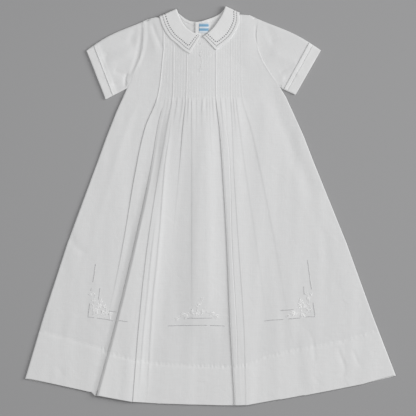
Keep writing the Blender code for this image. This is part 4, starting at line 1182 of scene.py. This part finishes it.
class Threadwork:
    """Tubes and raised stitches that are joined to one mesh."""

    def __init__(self):
        self.points, self.faces, self.along = [], [], []

    def add(self, points, faces, along):
        first = len(self.points)
        self.points.extend(points)
        self.along.extend(along)
        self.faces.extend(tuple(first + corner for corner in face) for face in faces)

    def tube(self, path, radius, sides=5):
        """A thread along points of x, depth, z."""
        path = np.array(path, float)
        run = np.gradient(path, axis=0)
        run[:, 2] = 0
        run /= np.maximum(np.linalg.norm(run, axis=1), 1e-9)[:, None]
        across = np.stack((-run[:, 1], run[:, 0], np.zeros(len(path))), axis=1)
        passed = distances(path)
        points, along = [], []
        for number, centre in enumerate(path):
            size = radius * (0.35 if number in (0, len(path) - 1) else 1)
            for side in range(sides):
                angle = 2 * math.pi * side / sides
                points.append(centre + across[number] * size * math.cos(angle)
                              + np.array((0, 0, size * math.sin(angle))))
                along.append(passed[number])
        self.add(points, grid_faces(len(path), sides, around=True), along)

    def leaf(self, centre, angle, length, width, height, ground):
        """A satin-stitched leaf or petal: a low lens that starts at its centre's back end."""
        rows, columns = 9, 5
        turn = math.radians(angle)
        run, across = (math.cos(turn), math.sin(turn)), (-math.sin(turn), math.cos(turn))
        points, along = [], []
        for row in range(rows):
            t = row / (rows - 1)
            half = width / 2 * math.sin(math.pi * min(max(t, 0.02), 0.98)) ** 0.75
            for column in range(columns):
                side = 2 * column / (columns - 1) - 1
                x = centre[0] + run[0] * t * length + across[0] * side * half
                depth = centre[1] + run[1] * t * length + across[1] * side * half
                rise = height * (1 - side * side) * math.sin(math.pi * t) ** 0.4
                points.append((x, depth, ground(x, depth) + 0.04 + rise))
                along.append(t * length)
        self.add(points, grid_faces(rows, columns), along)

    def knot(self, x, depth, radius, ground):
        """A small round knot."""
        z = ground(x, depth)
        points, along = [(x, depth, z + radius)], [0]
        for level, (share, rise) in enumerate(((0.6, 0.85), (1.0, 0.4), (0.95, -0.1))):
            for side in range(8):
                angle = 2 * math.pi * (side + 0.5 * level) / 8
                points.append((x + radius * share * math.cos(angle),
                               depth + radius * share * math.sin(angle), z + radius * rise))
                along.append(side * 0.3)
        faces = [(0, 1 + side, 1 + (side + 1) % 8) for side in range(8)]
        for level in range(2):
            for side in range(8):
                a, b = 1 + level * 8 + side, 1 + level * 8 + (side + 1) % 8
                faces.append((a, a + 8, b + 8, b))
        self.add(points, faces, along)

    def piece(self, name, material):
        points = to_metres(*np.array([tuple(point) for point in self.points], float).T)
        made = cloth_piece(name, points, self.faces, material, {"along": self.along})


def ground_of(piece):
    """A function for the height of a piece's upper face in mm at x, depth."""
    mesh = piece.data
    tree = BVHTree.FromPolygons([vertex.co for vertex in mesh.vertices],
                                [tuple(face.vertices) for face in mesh.polygons])

    def height(x, depth):
        start = Vector((x * MM, (LENGTH / 2 - depth) * MM, 0.05))
        found = tree.ray_cast(start, Vector((0, 0, -1)))[0]
        return found.z / MM if found else front_top(x, depth)

    return height


def sampled(points, step, fewest=2, through=np.interp):
    """Points at even steps along a line through points of x, depth."""
    points = np.array(points, float)
    passed = distances(points)
    at = np.linspace(0, passed[-1], max(fewest, int(passed[-1] / step) + 1))
    return np.stack([through(at, passed, points[:, k]) for k in range(2)], axis=1)


def strand_group():
    """Strands of thread that lie side by side across a stitch. Height, 0 to 1."""
    group, given, height = new_group("thread strands", {"Along": 0.0, "Pitch": 0.4}, "Height")
    turns = math_node(group, "DIVIDE", given["Along"], given["Pitch"])
    wave = math_node(group, "SINE", math_node(group, "MULTIPLY", turns, 2 * math.pi))
    link(group, math_node(group, "MULTIPLY_ADD", wave, 0.5, 0.5), height)
    return group


STRANDS = strand_group()


def thread_material(name, colour, roughness):
    material, tree, shader = new_material(name, {
        "Base Color": colour, "Roughness": roughness, "Sheen Weight": 0.15})
    strands = new_node(tree, "Group", {"Along": point_value(tree, "along")}, node_tree=STRANDS)
    bump = new_node(tree, "Bump", {"Distance": 0.00008, "Height": strands.outputs["Height"]})
    link(tree, bump.outputs[0], shader.inputs["Normal"])
    return material


SEWING_THREAD = thread_material("white_sewing_thread", (0.86, 0.862, 0.865, 1), 0.6)
# Painted shade: the mid-grey of the open band stands for the shadow seen through it.
OPENING_SHADE = thread_material("painted_opening_shade", (0.46, 0.46, 0.47, 1), 0.9)
on_front = ground_of(front)
ladders, opening_shade = Threadwork(), Threadwork()
for line in DRAWN_LINES:
    middle = sampled(line, DRAWN_PITCH)
    run = np.gradient(middle, axis=0)
    run /= np.linalg.norm(run, axis=1)[:, None]
    across = np.stack((-run[:, 1], run[:, 0]), axis=1)
    height = np.array([on_front(*point) for point in middle])
    sides = [np.column_stack((middle + across * offset * DRAWN_HALF_WIDTH, height + 0.08))
             for offset in (-1, 1)]
    for side in sides:
        ladders.tube(side, RAIL_RADIUS, 4)
    # A grey strip of painted shade lies in the open band, just under the bars.
    strip = np.stack(sides, axis=1).reshape(-1, 3) - (0, 0, 0.03)
    opening_shade.add(list(strip), grid_faces(len(middle), 2),
                 np.repeat(np.arange(len(middle)) * DRAWN_PITCH, 2))
    for first, second in zip(*sides):
        ladders.tube((first, (first + second) / 2 + (0, 0, 0.05), second), BAR_RADIUS, 4)
ladders.piece("drawn_thread_bars", SEWING_THREAD)
opening_shade.piece("drawn_thread_opening_shade", OPENING_SHADE)


# Embroidery
# Hand embroidery in white cotton: sprays of leaves, petals and knots in the corners of the
# drawn-thread frames, over the middle one and below the collar. Stems are x, depth; leaves
# are x, depth, direction in degrees (90 points to the hem), length and width.
STEMS = (
    ((-181, 476), (-176, 468), (-171, 462), (-164, 459)),
    ((-181, 476), (-180.5, 463), (-179, 452), (-176.5, 442)),
    ((-181, 476), (-170, 474), (-160, 476), (-152, 479)),
    ((155, 473), (148, 467), (142, 459), (138.5, 450)),
    ((155, 473), (144, 471), (133, 472), (122, 475)),
    ((155, 473), (152, 460), (149.5, 450), (148, 441)),
    ((-52, 485), (-44, 476), (-34, 474), (-25, 472)),
    ((10, 485), (4, 476), (-6, 472), (-16, 472)),
    ((-20.5, 477), (-20.5, 466), (-17.5, 457)),
    ((-14, 68), (-15.4, 76), (-13.6, 86), (-15.8, 98)),
    ((-4, 70), (-1, 73), (1.5, 77)),
    ((-17.5, 95.5), (-16.8, 99.5), (-13.2, 100.8)),
)
LEAVES_PER_STEM = 4
FLOWERS = (
    (-171.5, 461.5, 4.2, 6), (-180, 452.5, 3.0, 5), (-160, 470.5, 3.0, 5),
    (141.0, 461.5, 4.4, 6), (150.5, 449, 3.0, 5), (127, 472.5, 3.1, 5),
    (-20.5, 473.5, 4.0, 6), (-43, 474.5, 3.0, 5), (3.5, 473, 3.0, 5), (-13, 451, 2.4, 5),
    (-15.4, 76.2, 1.7, 6), (-15.4, 70.8, 1.2, 5), (-14.8, 58.5, 1.5, 5),
)

# Fans of long leaves: x, depth, direction, number, length
FANS = (
    (-170, 458, -62, 2, 8.0), (-166, 463, -10, 3, 7.0), (-175, 466, 130, 3, 7.5),
    (-184, 446, -110, 3, 5.5), (-157, 473, 30, 3, 6.5), (-168, 468, 55, 2, 9.0),
    (136.5, 457.5, -60, 2, 8.5), (140, 462, 180, 3, 7.5), (142, 463, -25, 3, 7.5),
    (140, 472, 70, 2, 10.0), (131, 472, 165, 3, 9.0), (123, 476, 168, 2, 7.0),
    (148, 451, -10, 3, 5.5), (155, 447, -85, 2, 6.0), (148, 466, 35, 2, 6.0),
    (-27, 472, -140, 3, 6.5), (-14, 472, -40, 3, 6.5), (-34, 477, 170, 3, 8.5),
    (-48, 481, 160, 2, 8.0), (6, 476, 15, 2, 8.0), (-17, 462, -95, 3, 6.0),
)
SINGLE_KNOTS = (
    (-182.5, 448), (-184.5, 466), (-173, 478), (-163, 479), (135, 451), (155.5, 456),
    (137.5, 478), (116.5, 478), (-57.5, 484), (15.5, 483), (-32, 466), (-8, 465),
    (-24.5, 458), (1.5, 72.4), (-4.6, 76.5), (-13.6, 87),
)
STEM_RADIUS = 0.2
LEAF_LENGTH = 4.6
LEAF_WIDTH = 1.7

EMBROIDERY_THREAD = thread_material("white_embroidery_cotton", (0.93, 0.93, 0.93, 1), 0.42)
sprays = Threadwork()
for number, stem in enumerate(STEMS):
    path = sampled(stem, 0.8, 3, smooth)
    path = [(px, pd, on_front(px, pd) + 0.12) for px, pd in path]
    sprays.tube(path, STEM_RADIUS)
    small = 0.6 if path[0][1] < 200 else 1.0
    for leaf in range(LEAVES_PER_STEM):
        at = int((leaf + 0.8) / (LEAVES_PER_STEM + 0.3) * (len(path) - 1))
        here, after = path[at], path[min(at + 1, len(path) - 1)]
        before = path[max(at - 1, 0)]
        heading = math.degrees(math.atan2(after[1] - before[1], after[0] - before[0]))
        side = 48 if (leaf + number) % 2 else -48
        size = small * (1.0 + 0.18 * math.sin(2.3 * leaf + number))
        sprays.leaf(here[:2], heading + side, LEAF_LENGTH * size, LEAF_WIDTH * size, 0.38,
                    on_front)
for number, (x_mid, depth_mid, reach, petals) in enumerate(FLOWERS):
    for petal in range(petals):
        angle = 360 * petal / petals + 17 * number
        start = (x_mid + 0.5 * math.cos(math.radians(angle)),
                 depth_mid + 0.5 * math.sin(math.radians(angle)))
        sprays.leaf(start, angle, reach, reach * 0.55, 0.42, on_front)
    sprays.knot(x_mid, depth_mid, 0.55, on_front)
for x_mid, depth_mid, heading, count, reach in FANS:
    for leaf in range(count):
        angle = heading + 34 * (leaf - (count - 1) / 2)
        sprays.leaf((x_mid, depth_mid), angle, reach * (1 - 0.12 * (leaf % 2)), reach * 0.26,
                    0.55, on_front)
for x_mid, depth_mid in SINGLE_KNOTS:
    sprays.knot(x_mid, depth_mid, 0.5, on_front)
sprays.piece("embroidery", EMBROIDERY_THREAD)


# Stitches
# Hand and machine stitches in white thread: a line down each pin tuck, the blind stitches
# of the hem, and a line along the neck facing of the back and above the end of each sleeve.
STITCH_RADIUS = 0.1
STITCH_PITCH = 2.4
STITCH_SHARE = 0.62
STITCH_LIFT = 0.04
STITCH_ARCH = ((0, 0), (0.5, 0.06), (1, 0))
FACING_STITCHES = 4.2
SLEEVE_STITCHES = 16.2
stitches = Threadwork()


def stitch_line(path, pitch, ground, share=STITCH_SHARE):
    """A line of running stitches along points of x, depth."""
    steps = sampled(path, pitch)
    for first, second in zip(steps, steps[1:]):
        last = mix(first, second, share)
        run = [(mix(first, last, t), rise) for t, rise in STITCH_ARCH]
        stitches.tube([(px, pd, ground(px, pd) + STITCH_LIFT + rise)
                       for (px, pd), rise in run], STITCH_RADIUS, 4)


for line, count in TUCKS_AFTER_LINE.items():
    for number in range(count):
        place = line + number / count
        down = np.linspace(24, 139, 24)
        path = np.stack((x_at(place, down) + 1.05, down), axis=1)
        covered = [table(px, COLLAR_EDGE_LEFT) if px < COLLAR_EDGE_LEFT[-1][0]
                   else table(px, COLLAR_EDGE_RIGHT) for px in path[:, 0]]
        path = path[path[:, 1] > np.array(covered) + 2]
        if len(path) > 1:
            stitch_line(path, STITCH_PITCH, on_front)
hem_line = [(line_x(i, line[LINE_HEM] - line[LINE_TURN_UP]),
             line[LINE_HEM] - line[LINE_TURN_UP]) for i, line in enumerate(LINES)]
stitch_line(hem_line, 4.2, on_front, share=0.3)
for half, span in ((bpy.data.objects["back_left_cloth"], (-46, -26)),
                   (bpy.data.objects["back_right_cloth"], (-22, 12))):
    across = np.linspace(*span, 14)
    run = np.stack((across, table(across, BACK_TOP) + FACING_STITCHES), axis=1)
    stitch_line(run, 2.0, ground_of(half))
for side, _, outward, end, *_ in SLEEVES:
    on_sleeve = ground_of(bpy.data.objects[f"sleeve_{side}_cloth"])
    first, last = np.array(end)
    run = last - first
    run /= np.linalg.norm(run)
    inward = np.array((-run[1], run[0]))
    inward = inward if inward[0] * outward < 0 else -inward
    stitch_line((first + inward * SLEEVE_STITCHES + run * 3,
                 last + inward * SLEEVE_STITCHES - run * 3), 2.2, on_sleeve)
stitches.piece("stitches", SEWING_THREAD)


# Buttons
# Three flat shell-white shirt buttons under the placket, each with four holes, sewn to the
# right back and pushed through a worked hole of the left back.
BUTTON_DEPTHS = (64.0, 129.0, 196.0)
BUTTON_RADIUS = 4.5
BUTTON_SECTION = ((0, 0.35), (0.6, 0.35), (0.68, 0.28), (0.76, 0.03), (0.9, 0.02), (0.97, 0.15),
                  (1.0, 0.45), (1.0, 1.05), (0.97, 1.35), (0.9, 1.48), (0, 1.5))
HOLE_RADIUS = 0.55
HOLE_SPACING = 1.0
HOLE_SIDES = (-HOLE_SPACING, HOLE_SPACING)
BUTTONHOLE_STITCHES = 34
BUTTONHOLE_REACH = (4.8, 0.45)
SHELL_WHITE, tree, shader = new_material("shell_white", {"Roughness": 0.25, "Coat Weight": 0.3})
place = new_node(tree, "TexCoord").outputs["Object"]
marbling = new_node(tree, "Group", {"Size": 0.003, "Position": place}, node_tree=CRUMPLES)
link(tree, mixed_colour(tree, marbling.outputs["Height"], (0.80, 0.79, 0.76, 1),
                        (0.93, 0.93, 0.91, 1)), shader.inputs["Base Color"])


def turned_shape(section, sides):
    """Points and faces of a closed turned shape, in mm round the z axis."""
    points, rings = [], []
    for radius, z in section:
        if radius == 0:
            rings.append([len(points)] * sides)
            points.append((0, 0, z))
        else:
            rings.append(list(range(len(points), len(points) + sides)))
            points += [(radius * math.cos(2 * math.pi * i / sides),
                        radius * math.sin(2 * math.pi * i / sides), z) for i in range(sides)]
    faces = []
    for first, second in zip(rings, rings[1:]):
        for i in range(sides):
            j = (i + 1) % sides
            faces.append(tuple(dict.fromkeys((first[i], first[j], second[j], second[i]))))
    return points, faces


def solid(name, points, faces):
    mesh = bpy.data.meshes.new(name)
    mesh.from_pydata((np.array(points) * MM).tolist(), [], faces)
    mesh.validate()
    return placed(name, mesh)


def pierced_button():
    """Mesh of a button with four holes."""
    section = [(radius * BUTTON_RADIUS, z) for radius, z in BUTTON_SECTION]
    body = solid("button_body", *turned_shape(section, 48))
    points, faces = [], []
    for side_x in HOLE_SIDES:
        for side_y in HOLE_SIDES:
            own, own_faces = turned_shape(((0, -1), (HOLE_RADIUS, -1), (HOLE_RADIUS, 3), (0, 3)), 16)
            faces += [tuple(len(points) + corner for corner in face) for face in own_faces]
            points += [(px + side_x, py + side_y, pz) for px, py, pz in own]
    drill = solid("button_drill", points, faces)
    cut = body.modifiers.new("holes", "BOOLEAN")
    cut.operation = "DIFFERENCE"
    cut.solver = "EXACT"
    cut.object = drill
    graph = bpy.context.evaluated_depsgraph_get()
    mesh = bpy.data.meshes.new_from_object(body.evaluated_get(graph))
    for old in (body, drill):
        bpy.data.objects.remove(old, do_unlink=True)
    mesh.name = "pierced_button"
    mesh.materials.clear()
    mesh.materials.append(SHELL_WHITE)
    mesh.shade_smooth()
    mesh.set_sharp_from_angle(angle=math.radians(35))
    return mesh


button_mesh = pierced_button()
shanks = Threadwork()
for number, depth in enumerate(BUTTON_DEPTHS, 1):
    button = placed(f"button_{number}_shell", button_mesh)
    button.location = (PLACKET_X * MM, (LENGTH / 2 - depth) * MM, 0)
    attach(button, "root")
    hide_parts(f"button_{number}")
    for side in HOLE_SIDES:
        shanks.tube([(PLACKET_X - HOLE_SPACING, depth + side, 0.42),
                     (PLACKET_X, depth + side, 0.24),
                     (PLACKET_X + HOLE_SPACING, depth + side, 0.42)], 0.2)
        for other in HOLE_SIDES:
            shanks.tube([(PLACKET_X + side, depth + other, 0.35),
                         (PLACKET_X + side * 0.98, depth + other * 0.98, 1.5),
                         (PLACKET_X + side * 0.6, depth + other * 0.6, 2.4)], 0.16)
    lift = back_lift(PLACKET_X, depth)
    for step in range(BUTTONHOLE_STITCHES):
        angle = 2 * math.pi * step / BUTTONHOLE_STITCHES
        cos, sin = math.cos(angle), math.sin(angle)
        reach_x = BUTTONHOLE_REACH[0] * np.sign(cos) * abs(cos) ** 0.25
        reach_y = BUTTONHOLE_REACH[1] * np.sign(sin) * abs(sin) ** 0.5
        shanks.tube([(PLACKET_X + reach_x, depth + reach_y, lift + 0.62),
                     (PLACKET_X + reach_x * 1.12, depth + reach_y * 3.2, lift + 0.55)], 0.2, 4)
shanks.piece("button_threads", SEWING_THREAD)


# Floor, lights and camera
# A plain pale surface that the gown lies on, lit by a large soft lamp to its right and one
# overhead, and seen from straight above.
floor_mesh = bpy.data.meshes.new("floor")
floor_mesh.from_pydata([(-3, -3, -0.0004), (3, -3, -0.0004), (3, 3, -0.0004), (-3, 3, -0.0004)],
                       [], [(0, 1, 2, 3)])
floor = placed("floor", floor_mesh)
PALE_PAPER = new_material("pale_paper", {"Roughness": 0.9, "Base Color": (0.38, 0.38, 0.385, 1)})
floor_mesh.materials.append(PALE_PAPER[0])


def soft_lamp(name, place, size, power):
    lamp = bpy.data.lights.new(name, "AREA")
    lamp.shape = "SQUARE"
    lamp.size = size
    lamp.energy = power
    holder = placed(name, lamp)
    holder.location = place
    holder.rotation_mode = "QUATERNION"
    holder.rotation_quaternion = (-Vector(place)).to_track_quat("-Z", "Y")


soft_lamp("lamp_right", (3.4, 0.6, 1.95), 2.2, 113)
soft_lamp("lamp_above", (-0.3, 0.08, 1.5), 1.3, 10.2)
world = bpy.data.worlds.new("studio")
world.use_nodes = True
sky = world.node_tree.nodes["Background"]
sky.inputs["Color"].default_value = (1, 1, 1, 1)
sky.inputs["Strength"].default_value = 0.13
bpy.context.scene.world = world
bpy.context.scene.view_settings.view_transform = "Standard"

PHOTO_SPAN = 0.6406
PHOTO_CENTRE = (-0.00385, -0.00347)
CAMERA_HEIGHT = 4.0
camera = bpy.data.cameras.new("camera")
camera.type = "PERSP"
camera.sensor_width = 36.0
camera.lens = camera.sensor_width * CAMERA_HEIGHT / PHOTO_SPAN
camera_holder = placed("camera", camera)
camera_holder.location = (*PHOTO_CENTRE, CAMERA_HEIGHT + 0.003)
bpy.context.scene.camera = camera_holder
